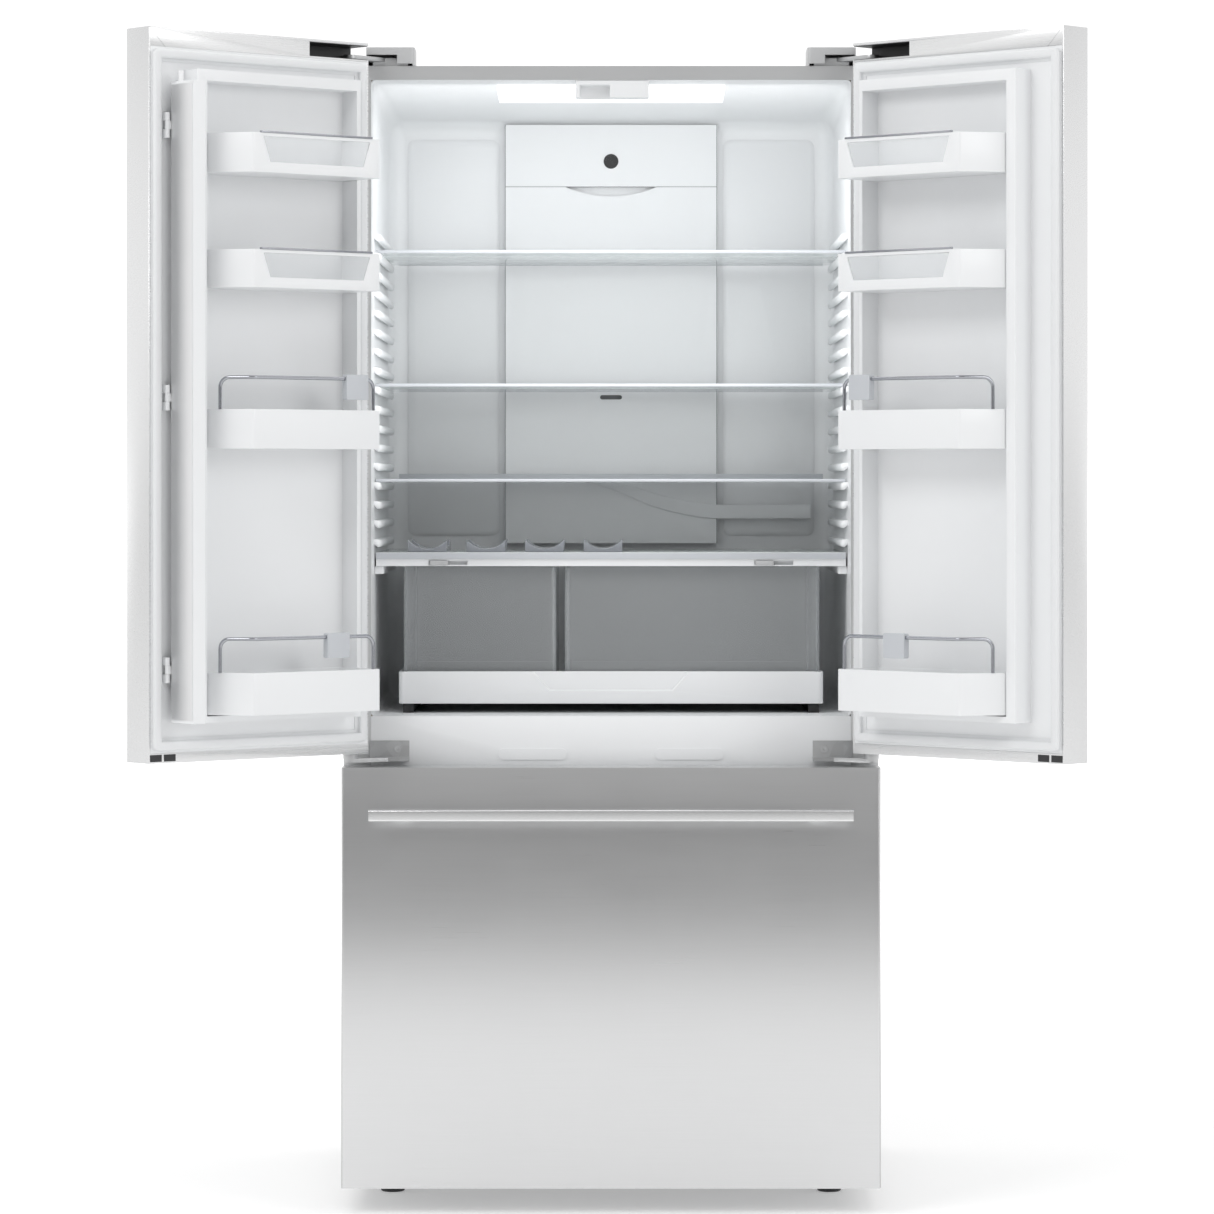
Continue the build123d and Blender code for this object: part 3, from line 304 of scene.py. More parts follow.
def softPiece(name, node, body, paint, width, segments=3, flatten=True):
    mesh = rounded(toMesh(cleanCopy(node, flatten), name), width, segments)
    finishMesh(mesh)
    return addPiece(name, mesh, body, paint, (node,))


def islands(node, flatten=True):
    # each closed solid of a node, as its own bmesh
    whole = cleanCopy(node, flatten)
    whole.verts.index_update()
    seen, groups = set(), []
    for start in whole.verts:
        if start.index in seen:
            continue
        group, waiting = {start.index}, [start]
        while waiting:
            for link in waiting.pop().link_edges:
                for vert in link.verts:
                    if vert.index not in group:
                        group.add(vert.index)
                        waiting.append(vert)
        seen |= group
        groups.append(group)
    made = []
    for group in groups:
        part = whole.copy()
        part.verts.index_update()
        bmesh.ops.delete(part, geom=[v for v in part.verts if v.index not in group], context="VERTS")
        made.append(part)
    whole.free()
    return made


def joined(parts, name):
    # several bmeshes as one mesh
    total = bmesh.new()
    for part in parts:
        mesh = toMesh(part, "part")
        total.from_mesh(mesh)
        bpy.data.meshes.remove(mesh)
    return toMesh(total, name)


def blockAt(low, high):
    made = bmesh.new()
    bmesh.ops.create_cube(made, size=1.0)
    size = Vector(high) - Vector(low)
    middle = (Vector(high) + Vector(low)) / 2
    place = Matrix.Translation(middle) @ Matrix.Diagonal((*size, 1))
    bmesh.ops.transform(made, matrix=place, verts=made.verts)
    return made


def moved(work, matrix):
    bmesh.ops.transform(work, matrix=matrix, verts=work.verts)
    if matrix.determinant() < 0:
        bmesh.ops.reverse_faces(work, faces=work.faces)
    return work


def loft(rings, closedEnds=True):
    # faces between rings of equal length, one ring after another
    work = bmesh.new()
    rows = [[work.verts.new(point) for point in ring] for ring in rings]
    for first, second in zip(rows, rows[1:]):
        count = len(first)
        for i in range(count):
            j = (i + 1) % count
            work.faces.new((first[i], first[j], second[j], second[i]))
    if closedEnds:
        work.faces.new(list(reversed(rows[0])))
        work.faces.new(rows[-1])
    bmesh.ops.recalc_face_normals(work, faces=work.faces)
    return work


def roundedRect(x0, x1, z0, z1, radius, steps=6):
    # corner points of a rounded rectangle, as (x, z)
    points = []
    corners = ((x1 - radius, z1 - radius, 0), (x0 + radius, z1 - radius, 90),
               (x0 + radius, z0 + radius, 180), (x1 - radius, z0 + radius, 270))
    for cx, cz, start in corners:
        for step in range(steps + 1):
            a = radians(start + 90 * step / steps)
            points.append((cx + radius * cos(a), cz + radius * sin(a)))
    return points


def lineTree():
    # repeats a shape along a straight line
    tree = bpy.data.node_groups.new("lineUp", "GeometryNodeTree")
    face = tree.interface
    face.new_socket("Geometry", in_out="OUTPUT", socket_type="NodeSocketGeometry")
    for label, kind in (("Shape", "NodeSocketObject"), ("Count", "NodeSocketInt"),
                        ("Start", "NodeSocketVector"), ("Step", "NodeSocketVector"),
                        ("Finish", "NodeSocketMaterial")):
        face.new_socket(label, in_out="INPUT", socket_type=kind)
    given = tree.nodes.new("NodeGroupInput")
    line = tree.nodes.new("GeometryNodeMeshLine")
    line.mode = "OFFSET"
    shape = tree.nodes.new("GeometryNodeObjectInfo")
    spread = tree.nodes.new("GeometryNodeInstanceOnPoints")
    real = tree.nodes.new("GeometryNodeRealizeInstances")
    paint = tree.nodes.new("GeometryNodeSetMaterial")
    result = tree.nodes.new("NodeGroupOutput")
    link = tree.links.new
    link(given.outputs["Count"], line.inputs["Count"])
    link(given.outputs["Start"], line.inputs["Start Location"])
    link(given.outputs["Step"], line.inputs["Offset"])
    link(given.outputs["Shape"], shape.inputs["Object"])
    link(line.outputs["Mesh"], spread.inputs["Points"])
    link(shape.outputs["Geometry"], spread.inputs["Instance"])
    link(spread.outputs["Instances"], real.inputs["Geometry"])
    link(real.outputs["Geometry"], paint.inputs["Geometry"])
    link(given.outputs["Finish"], paint.inputs["Material"])
    link(paint.outputs["Geometry"], result.inputs["Geometry"])
    return tree


repeatTree = lineTree()


def lineUp(work, count, start, step, paint):
    # a bmesh repeated along a line, as a plain mesh
    shape = bpy.data.objects.new("shape", toMesh(work, "shape"))
    bpy.context.scene.collection.objects.link(shape)
    host = bpy.data.objects.new("host", bpy.data.meshes.new("host"))
    bpy.context.scene.collection.objects.link(host)
    modifier = host.modifiers.new("lineUp", "NODES")
    modifier.node_group = repeatTree
    values = {"Shape": shape, "Count": count, "Start": start, "Step": step, "Finish": paints[paint]}
    for item in repeatTree.interface.items_tree:
        if item.in_out == "INPUT":
            modifier[item.identifier] = values[item.name]
    graph = bpy.context.evaluated_depsgraph_get()
    mesh = bpy.data.meshes.new_from_object(host.evaluated_get(graph))
    for made in (host, shape):
        bpy.data.objects.remove(made)
    return mesh


# camera

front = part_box("drawer_skin")[0].y

view = {"distance": 6.7, "height": 1.069, "lens": 135.8, "shiftX": -0.0033, "shiftY": -0.1013}


def makeCamera():
    data = bpy.data.cameras.new("camera")
    data.lens = view["lens"]
    data.shift_x = view["shiftX"]
    data.shift_y = view["shiftY"]
    camera = bpy.data.objects.new("camera", data)
    camera.location = (0, front - view["distance"], view["height"])
    camera.rotation_euler = (pi / 2, 0, 0)
    bpy.context.scene.collection.objects.link(camera)
    bpy.context.scene.camera = camera


makeCamera()


# steel skins and cabinet

skin = {"edge": 0.4 * mm, "cabinetEdge": 0.4 * mm}


def makeSkins():
    for side in sides:
        softPiece(f"{side}DoorSkin", f"{side}_door_skin", f"{side}_door", side, skin["edge"], 2)
    softPiece("drawerSkin", "drawer_skin", "freezer_drawer", "steel", skin["edge"], 2)
    softPiece("wrapper", "cabinet_shell", "cabinet", "wrapper", skin["cabinetEdge"], 2)


makeSkins()
print("skins made")


# handles

def makeHandles():
    for side in sides:
        softPiece(f"{side}Handle", f"{side}_door_handle", f"{side}_door", "handle", 0.8 * mm)
    softPiece("drawerHandle", "drawer_handle", "freezer_drawer", "handle", 0.8 * mm)


makeHandles()


# fridge liner: formed from one sheet, with round corners that grow towards the back

liner = {"frontRadius": 9 * mm, "backRadius": 26 * mm, "sheet": 2 * mm, "ceilingDrop": 20 * mm,
         "ribPitch": 28.6 * mm, "ribCount": 17, "ribHigh": 12 * mm, "ribReach": 11 * mm,
         "lowestRib": 986.2 * mm, "ledgeTop": 946 * mm}


def makeLiner():
    low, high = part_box("fridge_liner")
    x0, x1 = low.x + liner["sheet"], high.x - liner["sheet"]
    yFront, yBack = low.y, high.y - liner["sheet"]
    floor = low.z + liner["sheet"]
    ceilingFront = high.z - liner["sheet"]
    drop = liner["ceilingDrop"]
    span = yBack - yFront
    rings = []
    radius = liner["backRadius"]

    def ring(y, inset, corner):
        top = ceilingFront - drop * (y - yFront) / span - inset
        outline = roundedRect(x0 + inset, x1 - inset, floor + inset, top, corner)
        rings.append([(x, y, z) for x, z in outline])

    for step in range(7):
        t = step / 6
        corner = liner["frontRadius"] + (radius - liner["frontRadius"]) * t
        ring(yFront + (span - radius) * t, 0, corner)
    for step in range(1, 7):
        a = radians(90 * step / 6)
        inset = radius * (1 - cos(a))
        ring(yBack - radius + radius * sin(a), inset, max(radius - inset, 0.4 * mm))
    shell = loft(rings, closedEnds=False)
    shell.faces.new([v for v in shell.verts][-len(rings[-1]):])
    bmesh.ops.recalc_face_normals(shell, faces=shell.faces)
    mesh = toMesh(shell, "fridgeLiner")
    mesh = applied(mesh, [("SOLIDIFY", {"thickness": liner["sheet"] * 0.9, "offset": 1.0})])
    finishMesh(mesh, 40)
    return addPiece("fridgeLiner", mesh, "cabinet", "liner", ("fridge_liner",))


def ribShape(side, deep):
    # one rail: a slanted round nose in front, low and straight behind
    high, reach = liner["ribHigh"], liner["ribReach"]
    profile = [(0, 0.35), (0.55, 0.0), (0.9, 0.12), (1.0, 0.5), (0.9, 0.88), (0.55, 1.0), (0, 1.0)]
    rings = []
    for y, grow in ((0, 0.45), (2 * mm, 0.8), (6 * mm, 1.0), (deep - 6 * mm, 1.0), (deep, 0.6)):
        slope = 0
        rings.append([(side * -reach * a * grow, y + slope, high * (1 - (1 - b) * grow) - high)
                      for a, b in profile])
    return loft(rings)


def makeRibs():
    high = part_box("fridge_liner")[1]
    wall = high.x - liner["sheet"]
    yStart = front + 150 * mm
    deep = 422 * mm
    for name, side in sides.items():
        step = Vector((0, 0, liner["ribPitch"]))
        start = Vector((side * (wall + 0.3 * mm), yStart, liner["lowestRib"]))
        mesh = lineUp(ribShape(side, deep), liner["ribCount"], start, step, "liner")
        finishMesh(mesh, 50)
        addPiece(f"{name}ShelfRibs", mesh, "cabinet", "liner")
        ledge = blockAt((0, front + 165 * mm, liner["ledgeTop"] - 12 * mm),
                        (14 * mm, front + 555 * mm, liner["ledgeTop"]))
        moved(ledge, Matrix.Translation((wall - 14 * mm if side > 0 else -wall, 0, 0)))
        mesh = rounded(toMesh(ledge, "ledge"), 2 * mm)
        finishMesh(mesh)
        addPiece(f"{name}LidLedge", mesh, "cabinet", "liner")


def makeBackPanels():
    # raised panels each side of the duct
    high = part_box("duct_cover")[1]
    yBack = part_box("fridge_liner")[1].y - liner["sheet"]
    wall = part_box("fridge_liner")[1].x - liner["sheet"]
    for name, side in sides.items():
        x0, x1 = high.x + 10 * mm, wall - 31 * mm
        outer = roundedRect(x0, x1, 0.987, 1.617, 12 * mm)
        inner = roundedRect(x0 + 6 * mm, x1 - 6 * mm, 0.993, 1.611, 8 * mm)
        if side < 0:
            outer = [(-x, z) for x, z in outer]
            inner = [(-x, z) for x, z in inner]
        rings = [[(x, yBack + 0.5 * mm, z) for x, z in outer], [(x, yBack - 1.5 * mm, z) for x, z in outer],
                 [(x, yBack - 4.5 * mm, z) for x, z in inner]]
        mesh = toMesh(loft(rings), "panel")
        finishMesh(mesh, 50)
        addPiece(f"{name}BackPanel", mesh, "cabinet", "liner")


makeLiner()
makeRibs()
makeBackPanels()
print("liner made")


# door liners, mullion and bins

def makeDoorInsides():
    for side in sides:
        body = f"{side}_door"
        softPiece(f"{side}DoorLiner", f"{side}_door_liner", body, "white", 0.9 * mm,
                  flatten=False)
        softPiece(f"{side}DoorBins", f"{side}_door_bins", body, "white", 0.9 * mm)
        for place in ("upper", "lower"):
            clip = f"{side}_clip_{place}"
            softPiece(f"{side}Clip_{place}", clip, clip, "pale", 0.8 * mm)


def makeGuards():
    for side in sides:
        back = doorMatrix(side).inverted()
        kinds = {"panes": [], "rails": [], "wires": []}
        for part in islands(f"{side}_bin_guards"):
            points = [back @ v.co for v in part.verts]
            high = max(p.z for p in points) - min(p.z for p in points)
            thick = max(p.y for p in points) - min(p.y for p in points)
            kind = "rails" if high < 4 * mm else "panes" if thick < 4 * mm else "wires"
            kinds[kind].append(part)
        body = f"{side}_door"
        stands = (f"{side}_bin_guards",)
        mesh = rounded(joined(kinds["panes"], "panes"), 0.2 * mm, 1)
        finishMesh(mesh)
        addPiece(f"{side}BinWindows", mesh, body, "window", stands)
        mesh = rounded(joined(kinds["rails"], "rails"), 0.8 * mm)
        finishMesh(mesh)
        addPiece(f"{side}BinRails", mesh, body, "wire")
        mesh = joined(kinds["wires"], "wires")
        finishMesh(mesh, 40)
        addPiece(f"{side}WireGuards", mesh, body, "wire")


def makeMullion():
    plate, post = sorted(islands("flip_mullion", flatten=False), key=lambda part: len(part.faces))
    mesh = toMesh(post, "post")
    finishMesh(mesh, 20)
    addPiece("mullionPost", mesh, "flip_mullion", "white", ("flip_mullion",))
    mesh = toMesh(plate, "plate")
    finishMesh(mesh, 20)
    addPiece("mullionPlate", mesh, "flip_mullion", "mullion")


makeDoorInsides()
makeGuards()
makeMullion()
print("door insides made")


# seals: a soft hollow bead on a flat foot, run round a rectangle

seal = {"wide": 18.5 * mm, "thick": 10.3 * mm, "corner": 8 * mm}


def sealRing(x0, x1, z0, z1, y0):
    # profile across the seal: (distance in from the outer edge, height off the door)
    wide, thick = seal["wide"], seal["thick"]
    profile = [(0.02, 0.0), (0.02, 0.12), (0.10, 0.16), (0.16, 0.30), (0.08, 0.42), (0.02, 0.62),
               (0.06, 0.86), (0.18, 0.98), (0.40, 1.0), (0.58, 0.98), (0.70, 0.88), (0.74, 0.66),
               (0.70, 0.42), (0.78, 0.26), (0.90, 0.18), (0.98, 0.14), (0.98, 0.0)]
    rings = []
    for inward, height in profile:
        d = inward * wide
        corner = max(seal["corner"] - d, 0.8 * mm)
        outline = roundedRect(x0 + d, x1 - d, z0 + d, z1 - d, corner, 4)
        rings.append([(x, y0 + height * thick, z) for x, z in outline])
    rings.append(rings[0])
    work = loft(rings, closedEnds=False)
    bmesh.ops.remove_doubles(work, verts=work.verts, dist=0.00001)
    bmesh.ops.recalc_face_normals(work, faces=work.faces)
    return work


def makeSeals():
    for side in sides:
        low, high = localBox(f"{side}_door_gasket", side)
        work = moved(sealRing(low.x, high.x, low.z, high.z, low.y), doorMatrix(side))
        mesh = toMesh(work, "seal")
        finishMesh(mesh, 60)
        addPiece(f"{side}DoorSeal", mesh, f"{side}_door", "seal", (f"{side}_door_gasket",))
    low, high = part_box("drawer_gasket")
    mesh = toMesh(sealRing(low.x, high.x, low.z, high.z, low.y), "seal")
    finishMesh(mesh, 60)
    addPiece("drawerSeal", mesh, "freezer_drawer", "seal", ("drawer_gasket",))


makeSeals()
print("seals made")


# hinge pockets and corner caps of the doors

pocket = {"reach": 97 * mm, "front": -13 * mm, "low": 3 * mm, "high": 24 * mm, "wall": 0.8 * mm}
cap = {"wide": 20 * mm, "high": 10 * mm, "proud": 0.6 * mm}


def makePockets():
    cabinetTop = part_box("cabinet_shell")[1].z
    for side in sides:
        low, high = localBox(f"{side}_door_skin", side)
        wall = pocket["wall"]
        z0, z1 = cabinetTop + pocket["low"], cabinetTop + pocket["high"]
        x1, y1 = pocket["reach"], high.y - 1 * mm
        parts = [blockAt((low.x + 1 * mm, pocket["front"], z0), (x1, y1, z0 + wall)),
                 blockAt((low.x + 1 * mm, pocket["front"], z1 - wall), (x1, y1, z1)),
                 blockAt((low.x + 1 * mm, pocket["front"], z0), (x1, pocket["front"] + wall, z1)),
                 blockAt((x1 - wall, pocket["front"], z0), (x1, y1, z1))]
        parts = [moved(part, doorMatrix(side)) for part in parts]
        mesh = joined(parts, "pocket")
        addPiece(f"{side}HingePocket", mesh, f"{side}_door", "dark")
        caps = []
        for near in (2 * mm, 26 * mm):
            x1 = high.x - near
            caps.append(blockAt((x1 - cap["wide"], high.y - 0.4 * mm, low.z + 2.5 * mm),
                                (x1, high.y + cap["proud"], low.z + 2.5 * mm + cap["high"])))
        mesh = rounded(joined([moved(part, doorMatrix(side)) for part in caps], "caps"), 0.3 * mm)
        finishMesh(mesh)
        addPiece(f"{side}CornerCaps", mesh, f"{side}_door", "dark")


mitre = {"wide": 0.42 * mm, "proud": 0.15 * mm, "long": 28 * mm}


def makeMitres():
    # the folded corner of each door's steel, seen on its inner flange: a real joint line, whose darkness is
    # painted shade on a thin dark strip
    for side in sides:
        high = localBox(f"{side}_door_skin", side)[1]
        top, free = high.z - 0.4 * mm, high.x - 0.4 * mm
        y = high.y
        wide = mitre["wide"]
        outline = [(free, top), (free - wide, top), (free - mitre["long"] - wide, top - mitre["long"]),
                   (free - mitre["long"], top - mitre["long"])]
        rings = [[(x, level, z) for x, z in outline] for level in (y - 0.2 * mm, y + mitre["proud"])]
        mesh = toMesh(moved(loft(rings), doorMatrix(side)), "mitre")
        addPiece(f"{side}FlangeMitre", mesh, f"{side}_door", "seamShade")


makePockets()
makeMitres()


# shelves and lid

def makeShelves():
    for number in (1, 2, 3):
        body = f"shelf_{number}"
        softPiece(f"shelfGlass{number}", f"shelf_{number}_glass", body, "glass", 0.4 * mm, 2)
        softPiece(f"shelfTrims{number}", f"shelf_{number}_trims", body, "pale", 0.5 * mm)
    softPiece("lidGlass", "lid_glass", "cabinet", "glass", 0.5 * mm, 2)
    softPiece("lidFrame", "lid_frame", "cabinet", "white", 0.6 * mm)
    low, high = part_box("lid_frame")
    trim = blockAt((low.x, low.y - 0.3 * mm, high.z - 10 * mm), (high.x, low.y + 1 * mm, high.z - 0.4 * mm))
    mesh = rounded(toMesh(trim, "trim"), 0.3 * mm)
    finishMesh(mesh)
    addPiece("lidTrim", mesh, "cabinet", "pale")
    softPiece("bottleCradles", "bottle_cradles", "cabinet", "smoke", 1.0 * mm)
    for side in sides:
        name = f"humidity_slider_{side}"
        softPiece(f"{side}HumiditySlider", name, name, "grey", 0.6 * mm)


makeShelves()


# crisper and freezer boxes

def makeBoxes():
    softPiece("crisperTray", "crisper_tray", "crisper", "white", 1.2 * mm)
    softPiece("crisperBins", "crisper_bins", "crisper", "window", 0.8 * mm)
    softPiece("freezerBin", "freezer_bin", "freezer_drawer", "white", 1.0 * mm)
    softPiece("freezerTray", "freezer_tray", "freezer_tray", "white", 1.0 * mm)
    softPiece("drawerLiner", "drawer_liner", "freezer_drawer", "white", 1.6 * mm, 4)
    softPiece("drawerSlides", "drawer_slides", "freezer_drawer", "zinc", 0.4 * mm)
    softPiece("drawerRails", "drawer_rails", "cabinet", "dark", 0.5 * mm)
    softPiece("freezerLiner", "freezer_liner", "cabinet", "liner", 0.5 * mm)


makeBoxes()
print("boxes made")


# small cabinet pieces

def makeSmallPieces():
    softPiece("lightLens", "light_panel", "cabinet", "lens", 1.2 * mm)
    softPiece("mullionGuide", "mullion_guide", "cabinet", "white", 1.4 * mm)
    softPiece("dividerFront", "divider_front", "cabinet", "liner", 0.4 * mm)
    softPiece("doorHinges", "door_hinges", "cabinet", "zinc", 0.5 * mm)
    softPiece("hingeCovers", "hinge_covers", "cabinet", "grey", 1.2 * mm)
    softPiece("backPanels", "back_panels", "cabinet", "zinc", 0.2 * mm, 1)
    softPiece("basePan", "base_frame", "cabinet", "zinc", 0.4 * mm)
    softPiece("feet", "levelling_feet", "levelling_feet", "dark", 0.5 * mm)
    softPiece("rollers", "rear_rollers", "rear_rollers", "dark", 0.5 * mm)
    softPiece("compressorCan", "compressor", "cabinet", "black", 0.5 * mm)
    for node, paint in (("evaporator", "coil"), ("condenser", "black"), ("cabinet_foam", "foam"),
                        ("drawer_foam", "foam"), ("left_door_foam", "foam"), ("right_door_foam", "foam"),
                        ("evaporator_fan", "dark"), ("condenser_fan", "dark")):
        nodes[node].data.materials.clear()
        nodes[node].data.materials.append(paints[paint])


duct = {"outletHalf": 72 * mm, "outletDeep": 15 * mm, "outletBelow": 99 * mm, "ventBelow": 58 * mm,
        "ventRadius": 12 * mm, "ovalHeight": 1207 * mm, "ovalHalf": 17.5 * mm, "ovalHigh": 7 * mm,
        "recess": 13 * mm, "seamShade": 0.9 * mm}


def slab(outline, y0, y1):
    # a flat outline in x and z, drawn out along y
    return loft([[(x, y0, z) for x, z in outline], [(x, y1, z) for x, z in outline]])


def recess(outline, y0, y1):
    # open-fronted hollow: sides and a floor, facing the viewer
    work = loft([[(x, y0, z) for x, z in outline], [(x, y1, z) for x, z in outline]], closedEnds=False)
    bottom = [vert for vert in work.verts if vert.co.y > (y0 + y1) / 2]
    work.faces.new(bottom)
    return work


def holedPlate(x0, x1, z0, z1, holes, y):
    # flat sheet facing -Y with holes of any outline
    work = bmesh.new()
    edges = []
    for outline in [[(x0, z0), (x1, z0), (x1, z1), (x0, z1)], *holes]:
        ring = [work.verts.new((x, y, z)) for x, z in outline]
        edges += [work.edges.new((ring[i], ring[(i + 1) % len(ring)])) for i in range(len(ring))]
    bmesh.ops.triangle_fill(work, edges=edges, use_beauty=True, normal=(0, -1, 0))
    return work


def makeDuctCover():
    low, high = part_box("duct_cover")
    front, top = low.y, high.z
    seamZ = top - duct["outletBelow"]
    ventZ = top - duct["ventBelow"]
    scoop = [(duct["outletHalf"] * t / 12, seamZ - duct["outletDeep"] * (1 - (t / 12) ** 2))
             for t in range(-12, 13)]
    oval = roundedRect(-duct["ovalHalf"], duct["ovalHalf"], duct["ovalHeight"] - duct["ovalHigh"] / 2,
                       duct["ovalHeight"] + duct["ovalHigh"] / 2, duct["ovalHigh"] * 0.49)
    turns = [2 * pi * i / 40 for i in range(40)]
    around = [(duct["ventRadius"] * cos(a), ventZ + duct["ventRadius"] * sin(a)) for a in turns]
    depthOf = duct["recess"]
    parts = [holedPlate(low.x, high.x, low.z, top, (scoop, oval, around), front),
             recess(scoop, front, front + depthOf), recess(oval, front, front + depthOf),
             recess(around, front, front + 2 * mm)]
    rim = [(low.x, low.z), (high.x, low.z), (high.x, top), (low.x, top)]
    parts.append(loft([[(x, y, z) for x, z in rim] for y in (front, high.y)], closedEnds=False))
    mesh = joined(parts, "duct")
    finishMesh(mesh, 30)
    addPiece("ductCover", mesh, "cabinet", "liner", ("duct_cover",))
    # dark strips along the cover's sides and across its seam, and a dark sheet near the floor of the oval
    # slot: painted shade of the gaps and of the slot's depth
    half = duct["seamShade"] / 2
    shadeStrips = [blockAt((low.x, front - 0.1 * mm, low.z), (low.x + 2 * half, front + 1 * mm, top)),
              blockAt((high.x - 2 * half, front - 0.1 * mm, low.z), (high.x, front + 1 * mm, top)),
              blockAt((low.x, front - 0.1 * mm, seamZ), (high.x, front + 1 * mm, seamZ + 2 * half)),
              slab(oval, front + depthOf - 2 * mm, front + depthOf - 1 * mm)]
    addPiece("ductSeams", joined(shadeStrips, "seamShadeStrips"), "cabinet", "seamShade")
    addPiece("roundVent", ventMesh(front, ventZ), "cabinet", "dark")


def ventMesh(front, z):
    # round air vent: a raised rim, a hub and curved vanes between them
    radius = duct["ventRadius"] - 0.3 * mm
    parts = []
    for outer, inner, y0, y1 in ((1.0, 0.80, 0.3, 1.9), (0.24, 0.01, 0.3, 1.9), (0.99, 0.01, 1.7, 1.95)):
        profile = [(outer, y0), (outer, y1), (inner, y1), (inner, y0), (outer, y0)]
        rings = [[(radius * r * cos(2 * pi * i / 40), front + y * mm, z + radius * r * sin(2 * pi * i / 40))
                  for i in range(40)] for r, y in profile]
        ring = loft(rings, closedEnds=False)
        bmesh.ops.remove_doubles(ring, verts=ring.verts, dist=0.00001)
        bmesh.ops.recalc_face_normals(ring, faces=ring.faces)
        parts.append(ring)
    for k in range(6):
        vane = []
        for step in range(7):
            r = radius * (0.2 + 0.62 * step / 6)
            a = 2 * pi * k / 6 + 0.9 * step / 6
            for wide in (-0.09, 0.09):
                vane.append((r * cos(a + wide), z + r * sin(a + wide)))
        outline = vane[0::2] + vane[1::2][::-1]
        parts.append(slab(outline, front + 0.5 * mm, front + 1.8 * mm))
    mesh = joined(parts, "vent")
    finishMesh(mesh)
    return mesh


wave = {"low": 1.058, "crest": 22 * mm, "thinnest": 2 * mm, "thicker": 20 * mm,
        "from": -62 * mm, "to": 318 * mm, "proud": 2.2 * mm}


def makeWave():
    # soft wave moulded across the lower back wall
    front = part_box("duct_cover")[0].y - wave["proud"]
    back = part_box("fridge_liner")[1].y - liner["sheet"]
    rows = 40
    upper, lower = [], []
    for i in range(rows + 1):
        t = i / rows
        x = wave["from"] + (wave["to"] - wave["from"]) * t
        crest = wave["crest"] * cos(t * 1.6 * pi) if t < 0.625 else -wave["crest"]
        upper.append((x, wave["low"] + crest))
        lower.append((x, wave["low"] + crest - (wave["thinnest"] + wave["thicker"] * min(1.0, 3 * t))))
    outline = upper + lower[::-1]
    mesh = toMesh(slab(outline, front, back), "wave")
    mesh = rounded(mesh, 1.6 * mm, 3)
    finishMesh(mesh, 60)
    addPiece("backWave", mesh, "cabinet", "liner")


backScrew = {"radius": 4.5 * mm, "high": 2.0 * mm, "count": 12, "inset": 9 * mm}


def screwShape(radius, high):
    # low domed head with a round recess, facing +Y
    work = bmesh.new()
    rings = [(radius, 0.0), (radius, 0.45), (radius * 0.82, 0.8), (radius * 0.5, 0.96), (radius * 0.3, 1.0),
             (radius * 0.22, 0.45)]
    rows = []
    for r, t in rings:
        rows.append([work.verts.new((r * cos(2 * pi * i / 16), t * high, r * sin(2 * pi * i / 16)))
                     for i in range(16)])
    for first, second in zip(rows, rows[1:]):
        for i in range(16):
            j = (i + 1) % 16
            work.faces.new((first[i], first[j], second[j], second[i]))
    work.faces.new(rows[-1])
    work.faces.new(list(reversed(rows[0])))
    bmesh.ops.recalc_face_normals(work, faces=work.faces)
    return work


def makeBackScrews():
    low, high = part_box("back_panels")
    y = high.y - backScrew["high"] - 0.05 * mm
    step = Vector((0, 0, (high.z - low.z - 60 * mm) / (backScrew["count"] - 1)))
    for name, side in sides.items():
        start = Vector((side * (high.x - backScrew["inset"]), y, low.z + 30 * mm))
        mesh = lineUp(screwShape(backScrew["radius"], backScrew["high"]), backScrew["count"], start, step,
                      "zinc")
        finishMesh(mesh)
        addPiece(f"{name}BackScrews", mesh, "cabinet", "zinc")


makeSmallPieces()
makeDuctCover()
makeWave()
makeBackScrews()
print("small pieces made")


# studio: pale open floor and soft lights, with nothing standing behind the object

studio = {"half": 25.0, "fadeLong": 9.0, "nearWhite": 0.84, "farGrey": 0.62, "glow": 0.26, "behindGlow": 4.5}


def makeStudio():
    work = bmesh.new()
    bmesh.ops.create_grid(work, x_segments=8, y_segments=8, size=studio["half"])
    mesh = toMesh(work, "backdrop")
    finishMesh(mesh, 60)
    backdrop = bpy.data.objects.new("backdrop", mesh)
    bpy.context.scene.collection.objects.link(backdrop)
    paper = Finish("backdropPaper", Roughness=0.9)
    spot = paper.add("ShaderNodeTexCoord", out=3)
    along = paper.add("ShaderNodeSeparateXYZ", inputs={"Vector": spot}, out=1)
    fade = paper.add("ShaderNodeMapRange", {"interpolation_type": "LINEAR"},
                     {"Value": along, "From Min": front - studio["fadeLong"], "From Max": front - 0.2})
    near, far = studio["nearWhite"], studio["farGrey"]
    paper.feed("Base Color", paper.blend(fade, (far, far, far, 1), (near, near, near, 1)))
    behind = paper.add("ShaderNodeMapRange", {"interpolation_type": "SMOOTHSTEP"},
                       {"Value": along, "From Min": 0.9, "From Max": 4.0})
    bright = studio["behindGlow"]
    paper.feed("Emission Color", paper.blend(behind, (1, 1, 1, 1), (bright, bright, bright, 1)))
    paper.shader.inputs["Emission Strength"].default_value = studio["glow"]
    mesh.materials.append(paper.material)


def addLight(name, place, aim, size, power):
    data = bpy.data.lights.new(name, "AREA")
    data.shape = "RECTANGLE"
    data.size, data.size_y = size
    data.energy = power
    light = bpy.data.objects.new(name, data)
    light.location = place
    light.rotation_mode = "QUATERNION"
    light.rotation_quaternion = (Vector(aim) - Vector(place)).to_track_quat("-Z", "Y")
    bpy.context.scene.collection.objects.link(light)


room = {"side": 1.40, "front": 0.30, "sky": 0.85, "ground": 0.22, "strength": 0.8}


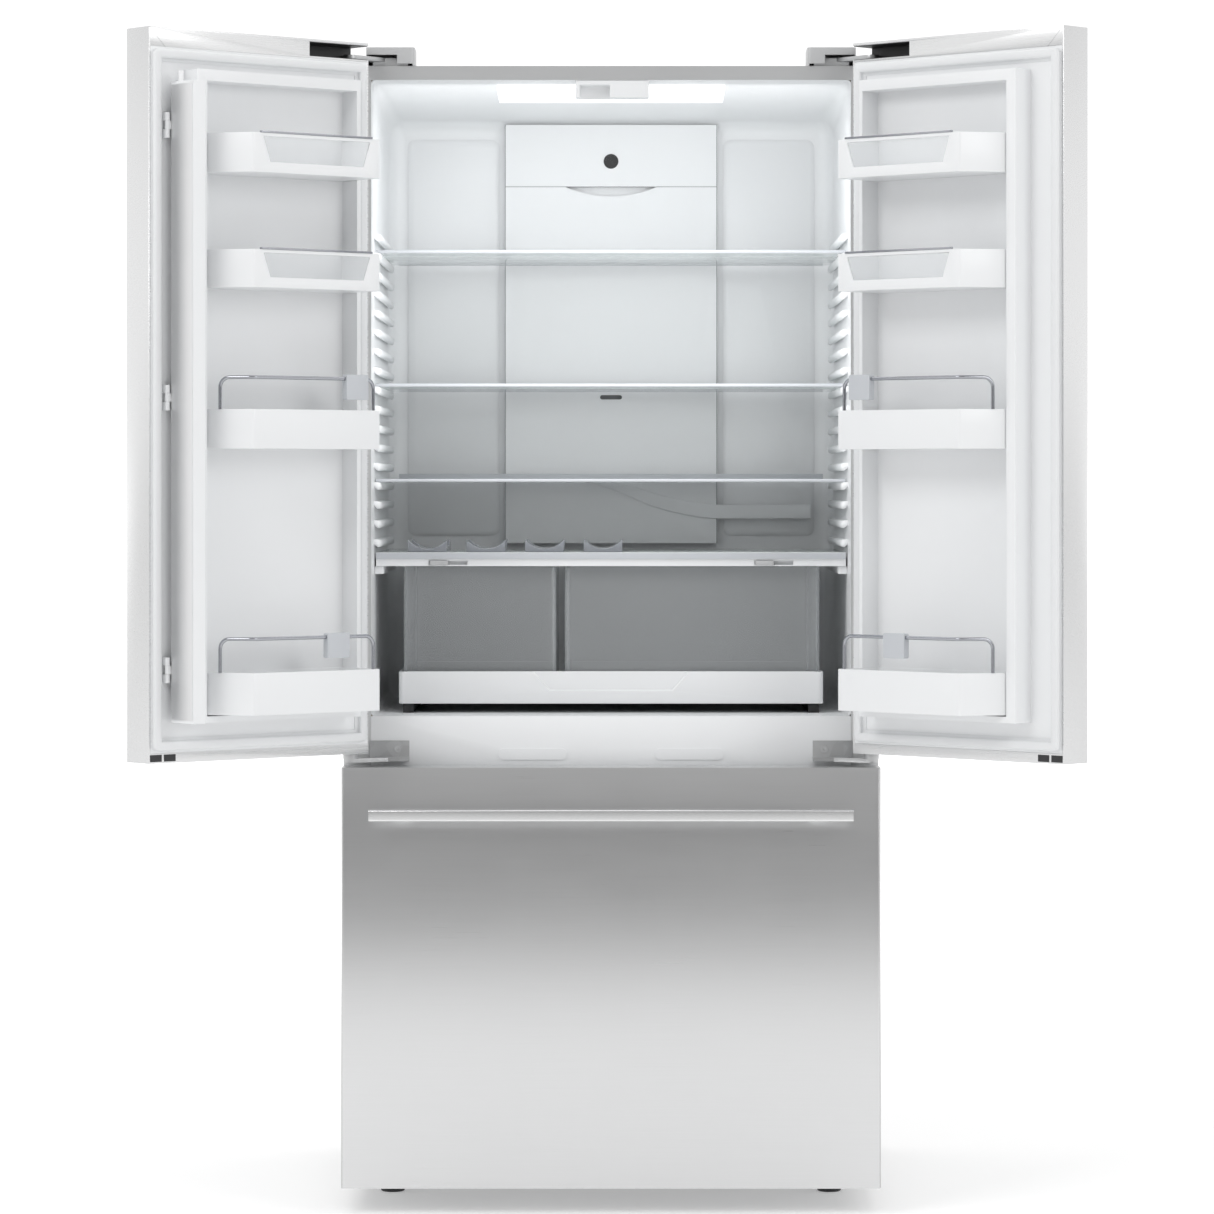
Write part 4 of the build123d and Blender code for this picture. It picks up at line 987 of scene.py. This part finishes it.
def makeRoom():
    # grey room: bright walls at the sides, a dark one behind the camera, bright ceiling
    world = bpy.data.worlds.new("studio")
    bpy.context.scene.world = world
    world.use_nodes = True
    tree = world.node_tree
    coordinate = tree.nodes.new("ShaderNodeTexCoord")
    split = tree.nodes.new("ShaderNodeSeparateXYZ")
    tree.links.new(coordinate.outputs["Generated"], split.inputs["Vector"])

    def ranged(socket, low, high, first, last):
        node = tree.nodes.new("ShaderNodeMapRange")
        node.interpolation_type = "SMOOTHSTEP"
        tree.links.new(socket, node.inputs["Value"])
        for key, value in (("From Min", low), ("From Max", high), ("To Min", first), ("To Max", last)):
            node.inputs[key].default_value = value
        return node.outputs[0]

    def mixed(factor, first, last):
        node = tree.nodes.new("ShaderNodeMix")
        tree.links.new(factor, node.inputs[0])
        for index, value in ((2, first), (3, last)):
            if isinstance(value, float):
                node.inputs[index].default_value = value
            else:
                tree.links.new(value, node.inputs[index])
        return node.outputs[0]

    walls = ranged(split.outputs["Y"], -0.95, -0.3, room["front"], room["side"])
    upper = mixed(ranged(split.outputs["Z"], 0.15, 0.6, 0.0, 1.0), walls, room["sky"])
    total = mixed(ranged(split.outputs["Z"], -0.12, -0.04, 0.0, 1.0), room["ground"], upper)
    background = tree.nodes["Background"]
    tree.links.new(total, background.inputs["Color"])
    background.inputs["Strength"].default_value = room["strength"]


lamps = {
    "key": {"place": (-2.4, front - 2.6, 3.4), "aim": (0, 0, 0.9), "size": (2.0, 1.4), "power": 42},
    "fill": {"place": (2.7, front - 2.8, 2.4), "aim": (0, 0, 0.9), "size": (1.8, 1.6), "power": 26},
    "top": {"place": (0, 0.6, 3.8), "aim": (0, 0.6, 0), "size": (3.4, 2.4), "power": 30},
}
insideLamps = {"ceilingPower": 0.3, "ceilingSize": (0.5, 0.14), "cavityPower": 1.35, "cavityWide": 0.66}


def makeLights():
    for name, lamp in lamps.items():
        addLight(name, lamp["place"], lamp["aim"], lamp["size"], lamp["power"])
    lensLow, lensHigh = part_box("light_panel")
    middle = (lensLow + lensHigh) / 2
    addLight("ceilingLamp", (0, middle.y, lensLow.z - 4 * mm), (0, middle.y + 0.1, 0.9),
             insideLamps["ceilingSize"], insideLamps["ceilingPower"])
    low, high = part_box("fridge_liner")
    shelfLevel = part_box("lid_frame")[1].z
    centre = (shelfLevel + high.z) / 2 + 0.05
    addLight("cavityLamp", (0, low.y + 6 * mm, centre), (0, low.y + 1, centre - 0.12),
             (insideLamps["cavityWide"], high.z - shelfLevel - 0.14), insideLamps["cavityPower"])


makeStudio()
makeRoom()
makeLights()
bpy.context.scene.view_settings.view_transform = "Standard"
print("studio made")
